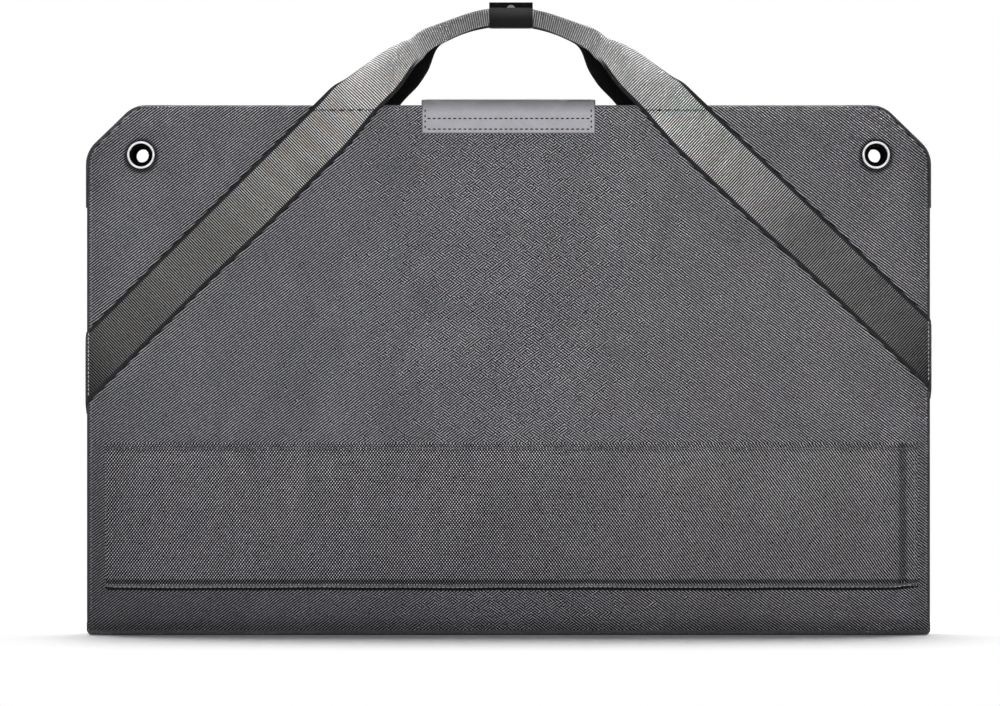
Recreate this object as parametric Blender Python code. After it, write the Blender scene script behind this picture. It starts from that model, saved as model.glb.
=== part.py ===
"""Two-leaf fabric solar suitcase: two solar leaves that fold on a flat spine, with their carrying gear.

Metres, +Z up, front leaf towards -Y. The case stands on its spine, closed, with its origin under the middle.
Every piece of a leaf is drawn as it sits on the front leaf. The rear leaf's pivot is turned half round,
so the same functions build both leaves, and left and right are as seen from outside that leaf.
"""

import math

import bmesh
import bpy

# Case
CASE_WIDTH = 0.675
CASE_TOP = 0.424
CASE_DEPTH = 0.032
LEAF_BOTTOM = 0.0094
CORNER_CUT = 0.0376
CORNER_RADIUS = 0.024
CORNER_SEGMENTS = 3
PIECE_GAP = 0.0003

# Layers of a leaf, measured outwards from the plane between the two leaves
LEAF_INNER = 0.0032
LEAF_OUTER = CASE_DEPTH / 2
COVER_WALL = 0.0011
BORDER_THICKNESS = 0.0014
LAMINATE_THICKNESS = 0.0028
BOARD_INNER = LEAF_INNER + BORDER_THICKNESS + LAMINATE_THICKNESS + 2 * PIECE_GAP
BOARD_OUTER = LEAF_OUTER - COVER_WALL - PIECE_GAP
BOARD_TOP_DROP = 0.0016
LAMINATE_WIDTH = 0.560
LAMINATE_HEIGHT = 0.380
BORDER_OVERLAP = 0.004

# Spine and its two folds
SPINE_WIDTH = 0.672
SPINE_FABRIC = 0.0012
SPINE_HEIGHT = 0.0065
SPINE_LINING_WIDTH = 0.026
SPINE_LINING_BASE = 0.0027
SPINE_LINING_THICKNESS = 0.0008
LEAD_WIDTH = 0.020
LEAD_BASE = 0.0015
LEAD_THICKNESS = 0.0009
FOLD_OUT = 0.014
FOLD_HEIGHT = 0.007

# Eyelets in the cut top corners
EYELET_X = 0.294
EYELET_Z = 0.384
EYELET_BORE = 0.0055
EYELET_BARREL = 0.0065
EYELET_FLANGE = 0.0112
EYELET_FLAT = (0.0070, 0.0098)
EYELET_STAND = 0.0017
EYELET_BARREL_END = 0.0025
EYELET_HOLE = EYELET_BARREL + PIECE_GAP
WASHER_RADIUS = 0.0105
WASHER_THICKNESS = 0.0008
ROUND_SEGMENTS = 20

# Tape around each cut corner
BINDING_THICKNESS = 0.0007
BINDING_LOW = 0.342
BINDING_TOP_END = 0.270

# Webbing
WEB_WIDTH = 0.0395
WEB_THICKNESS = 0.0018
STRAP_TOP = 0.4195
STRAP_SIDE_X = 0.3352
SEAM_HEIGHT = 0.4228
FRONT_STRAPS = {"left": (0.1286, 0.2168), "right": (0.1310, 0.2276)}
REAR_STRAPS = {"left": (0.1154, 0.2040), "right": (0.1154, 0.2040)}

# Carrying loops
LOOP_START = 0.423
LOOP_RISE = math.pi / 4
LOOP_AXIS_OUT = LEAF_OUTER + 0.0025
LOOP_AXIS_HEIGHT = 0.4215
LOOP_FOOT_OUT = LEAF_OUTER + 0.0013
LOOP_FOOT_THICKNESS = 0.002
LOOP_GRIP_THICKNESS = 0.007
LOOP_GRIP_WIDTH = 0.013
LOOP_NARROW_FROM = 0.100
LOOP_NARROW_TO = 0.036
FRONT_LOOP_TOP = 0.493
FRONT_GRIP_OUT = 0.006
REAR_LOOP_TOP = 0.4915
REAR_GRIP_OUT = 0.005
LOOP_ARC_STEPS = 10

# Snap wrap on the front loop
WRAP_CENTRE_X = 0.002
WRAP_WIDTH = 0.035
WRAP_LEATHER = 0.0012
WRAP_BOTTOM = 0.486
WRAP_BACK_IN = 0.0006
WRAP_BACK_TOP = 0.5075
WRAP_FRONT_OUT = 0.0115
WRAP_FRONT_TOP = 0.5024
WRAP_PINCH_WIDTH = 0.008
WRAP_AXIS_OUT = 0.0113
WRAP_AXIS_HEIGHT = 0.4862
SNAP_RADIUS = 0.0035
SNAP_HEIGHT = 0.5010
SNAP_SPLIT = 0.0061

# Leather closure over the top
CLOSURE_HALF_WIDTH = 0.0695
CLOSURE_PANEL_LOW = 0.4008
CLOSURE_PANEL_TOP = 0.4236
CLOSURE_LEATHER = 0.0014
TONGUE_FRONT = 0.0155
TONGUE_BACK = -0.012
TONGUE_BASE = 0.4245
TONGUE_LINING = 0.0008
TONGUE_OUTER_BASE = 0.4271
TONGUE_OUTER_TOP = 0.4286
TONGUE_AXIS_OUT = 0.017
TONGUE_AXIS_HEIGHT = 0.426
MAGNET_HALF_WIDTH = 0.055
MAGNET_SPAN = (-0.0110, -0.0030)
MAGNET_THICKNESS = 0.0012
KEEPER_SPAN = (0.0050, 0.0142)
KEEPER_THICKNESS = 0.0008

# Kickstands
STAND_LEFT = -0.322
STAND_RIGHT = 0.328
STAND_LOW = 0.0384
STAND_TOP = 0.1496
STAND_INNER = LEAF_OUTER + 0.0004
STAND_THICKNESS = 0.004
STAND_SKIN = 0.0009
STAND_AXIS_OUT = LEAF_OUTER + 0.0005
STAND_AXIS_HEIGHT = 0.1505

# Cable pouch on the rear leaf
POUCH_HALF_WIDTH = 0.100
POUCH_LOW = 0.172
POUCH_TOP = 0.268
POUCH_DEPTH = 0.0135
POUCH_FABRIC = 0.0012
POUCH_BACK = LEAF_OUTER + PIECE_GAP
POUCH_FRONT = POUCH_BACK + POUCH_DEPTH
FLAP_AXIS_OUT = LEAF_OUTER + 0.0012
FLAP_AXIS_HEIGHT = 0.2845
FLAP_START_DROP = 0.002
FLAP_SHOULDER = 0.270
FLAP_LOW = 0.228
FLAP_HALF_WIDTH = 0.1015
FLAP_FABRIC = 0.0014

# Junction box inside the pouch
BOX_LEFT = -0.078
BOX_RIGHT = 0.002
BOX_LOW = 0.180
BOX_TOP = 0.234
BOX_BASE_DEPTH = 0.0055
BOX_LID_DEPTH = 0.0030
BOX_WALL = 0.0016
SOCKET_X = -0.020
SOCKET_RADIUS = 0.0040
SOCKET_BORE = 0.0027
SOCKET_PIN = 0.0008
SOCKET_LENGTH = 0.014
SOCKET_FLOOR = 0.003

# Display colours of the materials, 0 to 255, then roughness and metallic
FINISHES = {
    "case_fabric": ((96, 95, 100), 0.85, 0.0),
    "binding_tape": ((60, 60, 63), 0.70, 0.0),
    "lining_fabric": ((40, 40, 43), 0.90, 0.0),
    "grey_webbing": ((128, 128, 130), 0.80, 0.0),
    "grey_leather": ((150, 150, 154), 0.55, 0.0),
    "black_leather": ((30, 30, 32), 0.45, 0.0),
    "solar_film": ((16, 19, 34), 0.25, 0.0),
    "stiff_board": ((72, 72, 75), 0.70, 0.0),
    "nickel": ((205, 205, 208), 0.25, 1.0),
    "magnet": ((58, 57, 56), 0.60, 0.0),
    "steel_strip": ((150, 150, 152), 0.40, 1.0),
    "black_plastic": ((24, 24, 25), 0.50, 0.0),
    "ribbon_film": ((150, 96, 40), 0.45, 0.0),
}


def clear_scene():
    for item in list(bpy.data.objects):
        bpy.data.objects.remove(item, do_unlink=True)


def display_to_linear(value):
    share = value / 255
    if share <= 0.04045:
        return share / 12.92
    return ((share + 0.055) / 1.055) ** 2.4


def make_material(name):
    colour, roughness, metallic = FINISHES[name]
    material = bpy.data.materials.new(name)
    material.use_nodes = True
    shader = material.node_tree.nodes["Principled BSDF"]
    shader.inputs["Base Color"].default_value = (*(display_to_linear(c) for c in colour), 1.0)
    shader.inputs["Roughness"].default_value = roughness
    shader.inputs["Metallic"].default_value = metallic
    return material


def add_pivot(name, point, parent=None, half_turn=False):
    """An empty on a joint's axis. point is given as on the front leaf."""
    pivot = bpy.data.objects.new(name, None)
    bpy.context.collection.objects.link(pivot)
    pivot["point"] = point
    if parent is None:
        pivot.location = (point[0], -point[1] if half_turn else point[1], point[2])
    else:
        pivot.parent = parent
        pivot.location = [a - b for a, b in zip(point, parent["point"])]
    if half_turn:
        pivot.rotation_euler.z = math.pi
    return pivot


def add_piece(name, bm, finish, pivot=None, smooth_angle=None):
    """Turn a finished bmesh into a named piece on its pivot."""
    bmesh.ops.remove_doubles(bm, verts=bm.verts, dist=1e-6)
    bmesh.ops.recalc_face_normals(bm, faces=bm.faces)
    mesh = bpy.data.meshes.new(name)
    bm.to_mesh(mesh)
    bm.free()
    mesh.materials.append(MATERIALS[finish])
    if smooth_angle is not None:
        mesh.shade_smooth()
        mesh.set_sharp_from_angle(angle=math.radians(smooth_angle))
    piece = bpy.data.objects.new(name, mesh)
    bpy.context.collection.objects.link(piece)
    if pivot is not None:
        piece.parent = pivot
        piece.location = [-value for value in pivot["point"]]
    return piece


def on_face(out):
    """Maps a flat (x, z) point to the front leaf, out metres in front of the middle plane."""
    return lambda x, z: (x, -out, z)


def on_section(x):
    """Maps an (out, z) point of a cross-section to the plane at x."""
    return lambda out, z: (x, -out, z)


def fill_loops(bm, loops, place):
    """Faces that fill the first loop and leave the others open."""
    edges = []
    for loop in loops:
        corners = [bm.verts.new(place(*point)) for point in loop]
        for first, second in zip(corners, corners[1:] + corners[:1]):
            edges.append(bm.edges.new((first, second)))
    made = bmesh.ops.triangle_fill(bm, use_beauty=True, use_dissolve=False, edges=edges)
    return [item for item in made["geom"] if isinstance(item, bmesh.types.BMFace)]


def push_faces(bm, faces, shift):
    """Extrude faces by shift. Faces that would end up inside the body are dropped."""
    region = list(faces)
    region += dict.fromkeys(edge for face in faces for edge in face.edges)
    region += dict.fromkeys(vert for face in faces for vert in face.verts)
    made = bmesh.ops.extrude_face_region(bm, geom=region)
    moved = [item for item in made["geom"] if isinstance(item, bmesh.types.BMVert)]
    bmesh.ops.translate(bm, verts=moved, vec=shift)


def plate(loops, inner, outer):
    """A flat plate with holes, parallel to the leaf, between two distances from the middle plane."""
    bm = bmesh.new()
    faces = fill_loops(bm, loops, on_face(inner))
    push_faces(bm, faces, (0, inner - outer, 0))
    return bm


def bar(profile, left, right):
    """An (out, z) profile drawn out along X."""
    bm = bmesh.new()
    faces = fill_loops(bm, [profile], on_section(left))
    push_faces(bm, faces, (right - left, 0, 0))
    return bm


def tray(wall_loops, floor_loops, place, floor_shift, wall_shift):
    """A floor with a wall standing on part of it, as one body."""
    bm = bmesh.new()
    wall = fill_loops(bm, wall_loops, place)
    floor = fill_loops(bm, floor_loops, place)
    bmesh.ops.remove_doubles(bm, verts=bm.verts, dist=1e-6)
    push_faces(bm, wall + floor, floor_shift)
    push_faces(bm, wall, wall_shift)
    return bm


def rectangle(left, right, low, high):
    return [(left, low), (right, low), (right, high), (left, high)]


def circle(centre_x, centre_z, radius):
    turns = [2 * math.pi * n / ROUND_SEGMENTS for n in range(ROUND_SEGMENTS)]
    return [(centre_x + radius * math.cos(a), centre_z + radius * math.sin(a)) for a in turns]


def block(left, right, inner, outer, low, high):
    return plate([rectangle(left, right, low, high)], inner, outer)


def turned(profile, centre_x, centre_z):
    """A closed (radius, out) profile turned about an axis square to the leaf."""
    bm = bmesh.new()
    rings = []
    for radius, out in profile:
        rings.append([bm.verts.new((x, -out, z)) for x, z in circle(centre_x, centre_z, radius)])
    for ring, following in zip(rings, rings[1:] + rings[:1]):
        for n in range(ROUND_SEGMENTS):
            after = (n + 1) % ROUND_SEGMENTS
            bm.faces.new((ring[n], ring[after], following[after], following[n]))
    return bm


def corner_arcs(half, top, cut, radius):
    """The two rounded turns of the right-hand cut corner, from the side up to the top edge."""
    pull = radius * math.tan(math.pi / 8)
    centres = ((half - radius, top - cut - pull), (half - cut - pull, top - radius))
    points = []
    for turn, (centre_x, centre_z) in enumerate(centres):
        for n in range(CORNER_SEGMENTS + 1):
            angle = math.pi / 4 * (turn + n / CORNER_SEGMENTS)
            points.append((centre_x + radius * math.cos(angle), centre_z + radius * math.sin(angle)))
    return points


def corner_path(inset):
    cut = CORNER_CUT - inset * (2 - math.sqrt(2))
    return corner_arcs(CASE_WIDTH / 2 - inset, CASE_TOP - inset, cut, CORNER_RADIUS - inset)


def leaf_outline(inset, top_drop=0.0):
    half = CASE_WIDTH / 2 - inset
    low = LEAF_BOTTOM + inset
    right = [(x, z - top_drop) for x, z in corner_path(inset)]
    left = [(-x, z) for x, z in reversed(right)]
    return [(-half, low), (half, low)] + right + left


def eyelet_holes():
    return [circle(side * EYELET_X, EYELET_Z, EYELET_HOLE) for side in (-1, 1)]


def cover(prefix, pivot):
    outline = leaf_outline(0.0)
    inside = leaf_outline(COVER_WALL)
    floor_inner = LEAF_OUTER - COVER_WALL
    bm = tray(
        [outline, inside],
        [inside] + eyelet_holes(),
        on_face(floor_inner),
        (0, -COVER_WALL, 0),
        (0, floor_inner - LEAF_INNER, 0),
    )
    add_piece(f"{prefix}_cover", bm, "case_fabric", pivot)


def stiffener(prefix, pivot):
    outline = leaf_outline(COVER_WALL + PIECE_GAP, BOARD_TOP_DROP)
    bm = plate([outline] + eyelet_holes(), BOARD_INNER, BOARD_OUTER)
    add_piece(f"{prefix}_stiffener", bm, "stiff_board", pivot)


def solar_laminate(prefix, pivot):
    inner = LEAF_INNER + BORDER_THICKNESS + PIECE_GAP
    low, high = laminate_span()
    bm = block(-LAMINATE_WIDTH / 2, LAMINATE_WIDTH / 2, inner, inner + LAMINATE_THICKNESS, low, high)
    add_piece(f"{prefix}_solar_laminate", bm, "solar_film", pivot)


def laminate_span():
    middle = (LEAF_BOTTOM + CASE_TOP) / 2
    return middle - LAMINATE_HEIGHT / 2, middle + LAMINATE_HEIGHT / 2


def inner_border(prefix, pivot):
    low, high = laminate_span()
    half = LAMINATE_WIDTH / 2 - BORDER_OVERLAP
    window = rectangle(-half, half, low + BORDER_OVERLAP, high - BORDER_OVERLAP)
    outline = leaf_outline(COVER_WALL + PIECE_GAP)
    bm = plate([outline, window] + eyelet_holes(), LEAF_INNER, LEAF_INNER + BORDER_THICKNESS)
    add_piece(f"{prefix}_inner_border", bm, "lining_fabric", pivot)


def eyelet(prefix, side, pivot):
    seat = LEAF_OUTER + PIECE_GAP
    crown = LEAF_OUTER + EYELET_STAND
    lip = (seat + crown) / 2
    profile = [
        (EYELET_BORE, EYELET_BARREL_END),
        (EYELET_BARREL, EYELET_BARREL_END),
        (EYELET_BARREL, seat),
        (EYELET_FLANGE, seat),
        (EYELET_FLANGE, lip),
        (EYELET_FLAT[1], crown),
        (EYELET_FLAT[0], crown),
        (EYELET_BORE, lip),
    ]
    sign = {"left": -1, "right": 1}[side]
    bm = turned(profile, sign * EYELET_X, EYELET_Z)
    add_piece(f"{prefix}_eyelet_{side}", bm, "nickel", pivot, smooth_angle=50)
    outer = LEAF_INNER - PIECE_GAP
    inner = outer - WASHER_THICKNESS
    ring = [(EYELET_HOLE, inner), (EYELET_HOLE, outer), (WASHER_RADIUS, outer), (WASHER_RADIUS, inner)]
    bm = turned(ring, sign * EYELET_X, EYELET_Z)
    add_piece(f"{prefix}_washer_{side}", bm, "nickel", pivot, smooth_angle=50)


def binding(prefix, side, pivot):
    sign = {"left": -1, "right": 1}[side]
    inner = binding_edge(-PIECE_GAP)
    outer = binding_edge(-PIECE_GAP - BINDING_THICKNESS)
    outline = [(sign * x, z) for x, z in outer + inner[::-1]]
    bm = plate([outline], LEAF_INNER, LEAF_OUTER)
    add_piece(f"{prefix}_binding_{side}", bm, "binding_tape", pivot)


def binding_edge(inset):
    start = (CASE_WIDTH / 2 - inset, BINDING_LOW)
    end = (BINDING_TOP_END, CASE_TOP - inset)
    return [start] + corner_path(inset) + [end]


def strap(prefix, side, top_x, side_z, pivot):
    """Webbing sewn flat on the cover, cut level at the top edge and upright at the side."""
    sign = {"left": -1, "right": 1}[side]
    angle = math.atan2(SEAM_HEIGHT - side_z, STRAP_SIDE_X - top_x)
    half_across = WEB_WIDTH / 2 / math.sin(angle)
    half_up = WEB_WIDTH / 2 / math.cos(angle)
    centre_x = top_x + (SEAM_HEIGHT - STRAP_TOP) / math.tan(angle)
    outline = [
        (centre_x - half_across, STRAP_TOP),
        (centre_x + half_across, STRAP_TOP),
        (STRAP_SIDE_X, side_z + half_up),
        (STRAP_SIDE_X, side_z - half_up),
    ]
    inner = LEAF_OUTER + PIECE_GAP
    bm = plate([[(sign * x, z) for x, z in outline]], inner, inner + WEB_THICKNESS)
    add_piece(f"{prefix}_strap_{side}", bm, "grey_webbing", pivot)


def leaf(prefix, straps, pivot):
    cover(prefix, pivot)
    stiffener(prefix, pivot)
    solar_laminate(prefix, pivot)
    inner_border(prefix, pivot)
    for side, (top_x, side_z) in straps.items():
        eyelet(prefix, side, pivot)
        binding(prefix, side, pivot)
        strap(prefix, side, top_x, side_z, pivot)


def smooth_share(value, start, end):
    share = min(max((value - start) / (end - start), 0.0), 1.0)
    return share * share * (3 - 2 * share)


def loop_half(foot_x, top):
    """Centre line of half a loop: a slanting rise from the seam, then an arc to the middle.

    Gives (x, z, lean) from the foot to the top, with x positive. lean is the slope of the run,
    and None at the foot, where the webbing is cut level.
    """
    radius = (LOOP_START + foot_x - top) / (math.sqrt(2) - 1)
    points = [(foot_x, LOOP_START, None)]
    for n in range(LOOP_ARC_STEPS + 1):
        lean = LOOP_RISE * (1 - n / LOOP_ARC_STEPS)
        points.append((radius * math.sin(lean), top - radius * (1 - math.cos(lean)), lean))
    return points


def loop_section(x, z, lean, sign, top, grip_out, pinch):
    """The four corners of the webbing across the loop at one point of its centre line."""
    gather = 1 - smooth_share(x, LOOP_NARROW_TO, LOOP_NARROW_FROM)
    width = WEB_WIDTH + (LOOP_GRIP_WIDTH - WEB_WIDTH) * gather
    if pinch:
        under_wrap = 1 - smooth_share(x, 0.75 * WRAP_WIDTH, WRAP_WIDTH)
        width -= (LOOP_GRIP_WIDTH - WRAP_PINCH_WIDTH) * under_wrap
    depth = LOOP_FOOT_THICKNESS + (LOOP_GRIP_THICKNESS - LOOP_FOOT_THICKNESS) * gather
    out = LOOP_FOOT_OUT + (grip_out - LOOP_FOOT_OUT) * smooth_share(z, LOOP_START, top)
    if lean is None:
        across = (sign * width / 2 / math.sin(LOOP_RISE), 0.0)
    else:
        across = (sign * math.sin(lean) * width / 2, math.cos(lean) * width / 2)
    corners = []
    for over, front in ((-1, -1), (1, -1), (1, 1), (-1, 1)):
        corners.append((sign * x + over * across[0], -out - front * depth / 2, z + over * across[1]))
    return corners


def handle_loop(prefix, straps, top, grip_out, pinch, pivot):
    left = [(x, z, lean, -1) for x, z, lean in loop_half(straps["left"][0], top)]
    right = [(x, z, lean, 1) for x, z, lean in loop_half(straps["right"][0], top)]
    bm = bmesh.new()
    rings = []
    for x, z, lean, sign in left + right[-2::-1]:
        corners = loop_section(x, z, lean, sign, top, grip_out, pinch)
        rings.append([bm.verts.new(corner) for corner in corners])
    for ring, following in zip(rings, rings[1:]):
        for n in range(4):
            after = (n + 1) % 4
            bm.faces.new((ring[n], ring[after], following[after], following[n]))
    bm.faces.new(rings[0])
    bm.faces.new(rings[-1])
    bmesh.ops.triangulate(bm, faces=bm.faces)
    add_piece(f"{prefix}_handle_loop", bm, "grey_webbing", pivot)


def grip_wrap(loop_pivot, tab_pivot):
    """Leather folded round the grip, its front half snapping to its back half above the webbing."""
    left = WRAP_CENTRE_X - WRAP_WIDTH / 2
    right = WRAP_CENTRE_X + WRAP_WIDTH / 2
    back_face = WRAP_BACK_IN + WRAP_LEATHER
    front_edge = WRAP_AXIS_OUT - PIECE_GAP
    profile = [
        (WRAP_BACK_IN, WRAP_BOTTOM),
        (front_edge, WRAP_BOTTOM),
        (front_edge, WRAP_BOTTOM + WRAP_LEATHER),
        (back_face, WRAP_BOTTOM + WRAP_LEATHER),
        (back_face, WRAP_BACK_TOP),
        (WRAP_BACK_IN, WRAP_BACK_TOP),
    ]
    add_piece("grip_wrap_back", bar(profile, left, right), "black_leather", loop_pivot)
    front_inner = WRAP_FRONT_OUT - WRAP_LEATHER
    front_low = WRAP_BOTTOM + WRAP_LEATHER + 2 * PIECE_GAP
    bm = block(left, right, front_inner, WRAP_FRONT_OUT, front_low, WRAP_FRONT_TOP)
    add_piece("grip_wrap_front", bm, "black_leather", tab_pivot)
    snap = circle(WRAP_CENTRE_X, SNAP_HEIGHT, SNAP_RADIUS)
    bm = plate([snap], back_face + PIECE_GAP, SNAP_SPLIT - PIECE_GAP)
    add_piece("grip_snap_stud", bm, "nickel", loop_pivot, smooth_angle=50)
    bm = plate([snap], SNAP_SPLIT, front_inner - PIECE_GAP)
    add_piece("grip_snap_socket", bm, "nickel", tab_pivot, smooth_angle=50)


def closure(leaf_pivot, tongue_pivot, rear_pivot):
    """Leather sewn to the front leaf, with a magnetic tongue that lands on the rear leaf's top edge."""
    half = CLOSURE_HALF_WIDTH
    inner = LEAF_OUTER + PIECE_GAP
    bm = block(-half, half, inner, inner + CLOSURE_LEATHER, CLOSURE_PANEL_LOW, CLOSURE_PANEL_TOP)
    add_piece("closure_panel", bm, "grey_leather", leaf_pivot)
    bm = block(-half, half, TONGUE_BACK, TONGUE_FRONT, TONGUE_OUTER_BASE, TONGUE_OUTER_TOP)
    add_piece("closure_tongue_leather", bm, "grey_leather", tongue_pivot)
    bm = block(-half, half, TONGUE_BACK, TONGUE_FRONT, TONGUE_BASE, TONGUE_BASE + TONGUE_LINING)
    add_piece("closure_tongue_lining", bm, "grey_leather", tongue_pivot)
    magnet_base = TONGUE_BASE + TONGUE_LINING + PIECE_GAP
    magnet_top = magnet_base + MAGNET_THICKNESS
    bm = block(-MAGNET_HALF_WIDTH, MAGNET_HALF_WIDTH, *MAGNET_SPAN, magnet_base, magnet_top)
    add_piece("closure_magnet_bar", bm, "magnet", tongue_pivot)
    keeper_top = CASE_TOP - COVER_WALL - PIECE_GAP
    keeper_base = keeper_top - KEEPER_THICKNESS
    bm = block(-MAGNET_HALF_WIDTH, MAGNET_HALF_WIDTH, *KEEPER_SPAN, keeper_base, keeper_top)
    add_piece("closure_keeper_strip", bm, "steel_strip", rear_pivot)


def kickstand(prefix, pivot):
    """A flat fabric sleeve, open at its right end, with a stiff board inside."""
    outer = STAND_INNER + STAND_THICKNESS
    skin = STAND_SKIN
    shell = rectangle(STAND_INNER, outer, STAND_LOW, STAND_TOP)
    slot = rectangle(STAND_INNER + skin, outer - skin, STAND_LOW + skin, STAND_TOP - skin)
    bm = tray(
        [shell, slot],
        [slot],
        on_section(STAND_LEFT + skin),
        (-skin, 0, 0),
        (STAND_RIGHT - STAND_LEFT - skin, 0, 0),
    )
    add_piece(f"{prefix}_kickstand_sleeve", bm, "case_fabric", pivot)
    ease = skin + PIECE_GAP
    bm = block(
        STAND_LEFT + ease,
        STAND_RIGHT - ease,
        STAND_INNER + ease,
        outer - ease,
        STAND_LOW + ease,
        STAND_TOP - ease,
    )
    add_piece(f"{prefix}_kickstand_board", bm, "stiff_board", pivot)


def spine():
    half = SPINE_WIDTH / 2
    wall = LEAF_OUTER - SPINE_FABRIC
    profile = [
        (-LEAF_OUTER, SPINE_HEIGHT),
        (-LEAF_OUTER, 0.0),
        (LEAF_OUTER, 0.0),
        (LEAF_OUTER, SPINE_HEIGHT),
        (wall, SPINE_HEIGHT),
        (wall, SPINE_FABRIC),
        (-wall, SPINE_FABRIC),
        (-wall, SPINE_HEIGHT),
    ]
    add_piece("spine_cover", bar(profile, -half, half), "binding_tape")
    lining = SPINE_LINING_WIDTH / 2
    lining_top = SPINE_LINING_BASE + SPINE_LINING_THICKNESS
    bm = block(-half, half, -lining, lining, SPINE_LINING_BASE, lining_top)
    add_piece("spine_lining", bm, "lining_fabric")
    lead = LEAD_WIDTH / 2
    lead_top = LEAD_BASE + LEAD_THICKNESS
    bm = block(-lead, lead, -lining, lining, LEAD_BASE, lead_top)
    add_piece("spine_ribbon_lead", bm, "ribbon_film")


def cable_pouch(leaf_pivot, flap_pivot):
    left, right = -POUCH_HALF_WIDTH, POUCH_HALF_WIDTH
    inner_low = POUCH_LOW + POUCH_FABRIC
    pocket = [
        (left + POUCH_FABRIC, POUCH_TOP),
        (left + POUCH_FABRIC, inner_low),
        (right - POUCH_FABRIC, inner_low),
        (right - POUCH_FABRIC, POUCH_TOP),
    ]
    outline = [(left, POUCH_TOP), (left, POUCH_LOW), (right, POUCH_LOW), (right, POUCH_TOP)]
    front_inner = POUCH_FRONT - POUCH_FABRIC
    bm = tray(
        [outline + pocket[::-1]],
        [pocket],
        on_face(front_inner),
        (0, -POUCH_FABRIC, 0),
        (0, front_inner - POUCH_BACK, 0),
    )
    add_piece("cable_pouch", bm, "case_fabric", leaf_pivot)
    start = FLAP_AXIS_HEIGHT - FLAP_START_DROP
    hang = POUCH_FRONT + 2 * PIECE_GAP
    profile = [
        (FLAP_AXIS_OUT, start),
        (FLAP_AXIS_OUT, start - FLAP_FABRIC),
        (hang, FLAP_SHOULDER),
        (hang, FLAP_LOW),
        (hang + FLAP_FABRIC, FLAP_LOW),
        (hang + FLAP_FABRIC, FLAP_SHOULDER + FLAP_FABRIC),
    ]
    bm = bar(profile, -FLAP_HALF_WIDTH, FLAP_HALF_WIDTH)
    add_piece("cable_pouch_flap", bm, "case_fabric", flap_pivot)


def junction_box(pivot):
    back = POUCH_BACK
    base_outer = back + BOX_BASE_DEPTH
    lid_inner = base_outer + PIECE_GAP
    outline = rectangle(BOX_LEFT, BOX_RIGHT, BOX_LOW, BOX_TOP)
    wall = BOX_WALL
    inside = rectangle(BOX_LEFT + wall, BOX_RIGHT - wall, BOX_LOW + wall, BOX_TOP - wall)
    floor = back + wall
    bm = tray([outline, inside], [inside], on_face(floor), (0, wall, 0), (0, floor - base_outer, 0))
    add_piece("junction_box_base", bm, "black_plastic", pivot)
    bm = plate([outline], lid_inner, lid_inner + BOX_LID_DEPTH)
    add_piece("junction_box_lid", bm, "black_plastic", pivot)
    socket(pivot, back + SOCKET_RADIUS + PIECE_GAP)


def socket(pivot, out):
    """A round output socket standing on the box, with a blind bore around a centre pin."""
    low = BOX_TOP + PIECE_GAP
    floor = low + SOCKET_FLOOR
    high = low + SOCKET_LENGTH
    profile = [
        (SOCKET_RADIUS, low),
        (SOCKET_RADIUS, high),
        (SOCKET_BORE, high),
        (SOCKET_BORE, floor),
        (SOCKET_PIN, floor),
        (SOCKET_PIN, high - SOCKET_FLOOR),
    ]
    bm = bmesh.new()
    rings = []
    for radius, z in profile:
        rings.append([bm.verts.new((x, -y, z)) for x, y in circle(SOCKET_X, out, radius)])
    for ring, following in zip(rings, rings[1:]):
        for n in range(ROUND_SEGMENTS):
            after = (n + 1) % ROUND_SEGMENTS
            bm.faces.new((ring[n], ring[after], following[after], following[n]))
    bm.faces.new(rings[0])
    bm.faces.new(rings[-1])
    add_piece("output_socket", bm, "black_plastic", pivot, smooth_angle=50)


def build():
    spine()
    front = add_pivot("front_leaf_axis", (0, -FOLD_OUT, FOLD_HEIGHT))
    rear = add_pivot("rear_leaf_axis", (0, -FOLD_OUT, FOLD_HEIGHT), half_turn=True)
    leaf("front", FRONT_STRAPS, front)
    leaf("rear", REAR_STRAPS, rear)
    for prefix, pivot in (("front", front), ("rear", rear)):
        stand_point = (0, -STAND_AXIS_OUT, STAND_AXIS_HEIGHT)
        kickstand(prefix, add_pivot(f"{prefix}_kickstand_axis", stand_point, pivot))
    loop_point = (0, -LOOP_AXIS_OUT, LOOP_AXIS_HEIGHT)
    front_loop = add_pivot("front_handle_axis", loop_point, front)
    rear_loop = add_pivot("rear_handle_axis", loop_point, rear)
    handle_loop("front", FRONT_STRAPS, FRONT_LOOP_TOP, FRONT_GRIP_OUT, True, front_loop)
    handle_loop("rear", REAR_STRAPS, REAR_LOOP_TOP, REAR_GRIP_OUT, False, rear_loop)
    wrap_tab = add_pivot("grip_wrap_axis", (0, -WRAP_AXIS_OUT, WRAP_AXIS_HEIGHT), front_loop)
    grip_wrap(front_loop, wrap_tab)
    tongue = add_pivot("closure_tongue_axis", (0, -TONGUE_AXIS_OUT, TONGUE_AXIS_HEIGHT), front)
    closure(front, tongue, rear)
    flap = add_pivot("pouch_flap_axis", (0, -FLAP_AXIS_OUT, FLAP_AXIS_HEIGHT), rear)
    cable_pouch(rear, flap)
    junction_box(rear)


clear_scene()
MATERIALS = {name: make_material(name) for name in FINISHES}
build()
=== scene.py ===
"""Looks of the two-leaf fabric solar suitcase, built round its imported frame.

Metres, +Z up, front towards -Y. Leaf pieces are drawn in leaf coordinates (x, out, z): x to the right and
z up as seen from outside that leaf, and out from the plane between the leaves. The rear leaf is the front
one turned half round, so one function draws both.
"""

import math

import bmesh
import bpy
import numpy as np
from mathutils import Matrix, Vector, geometry


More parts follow.
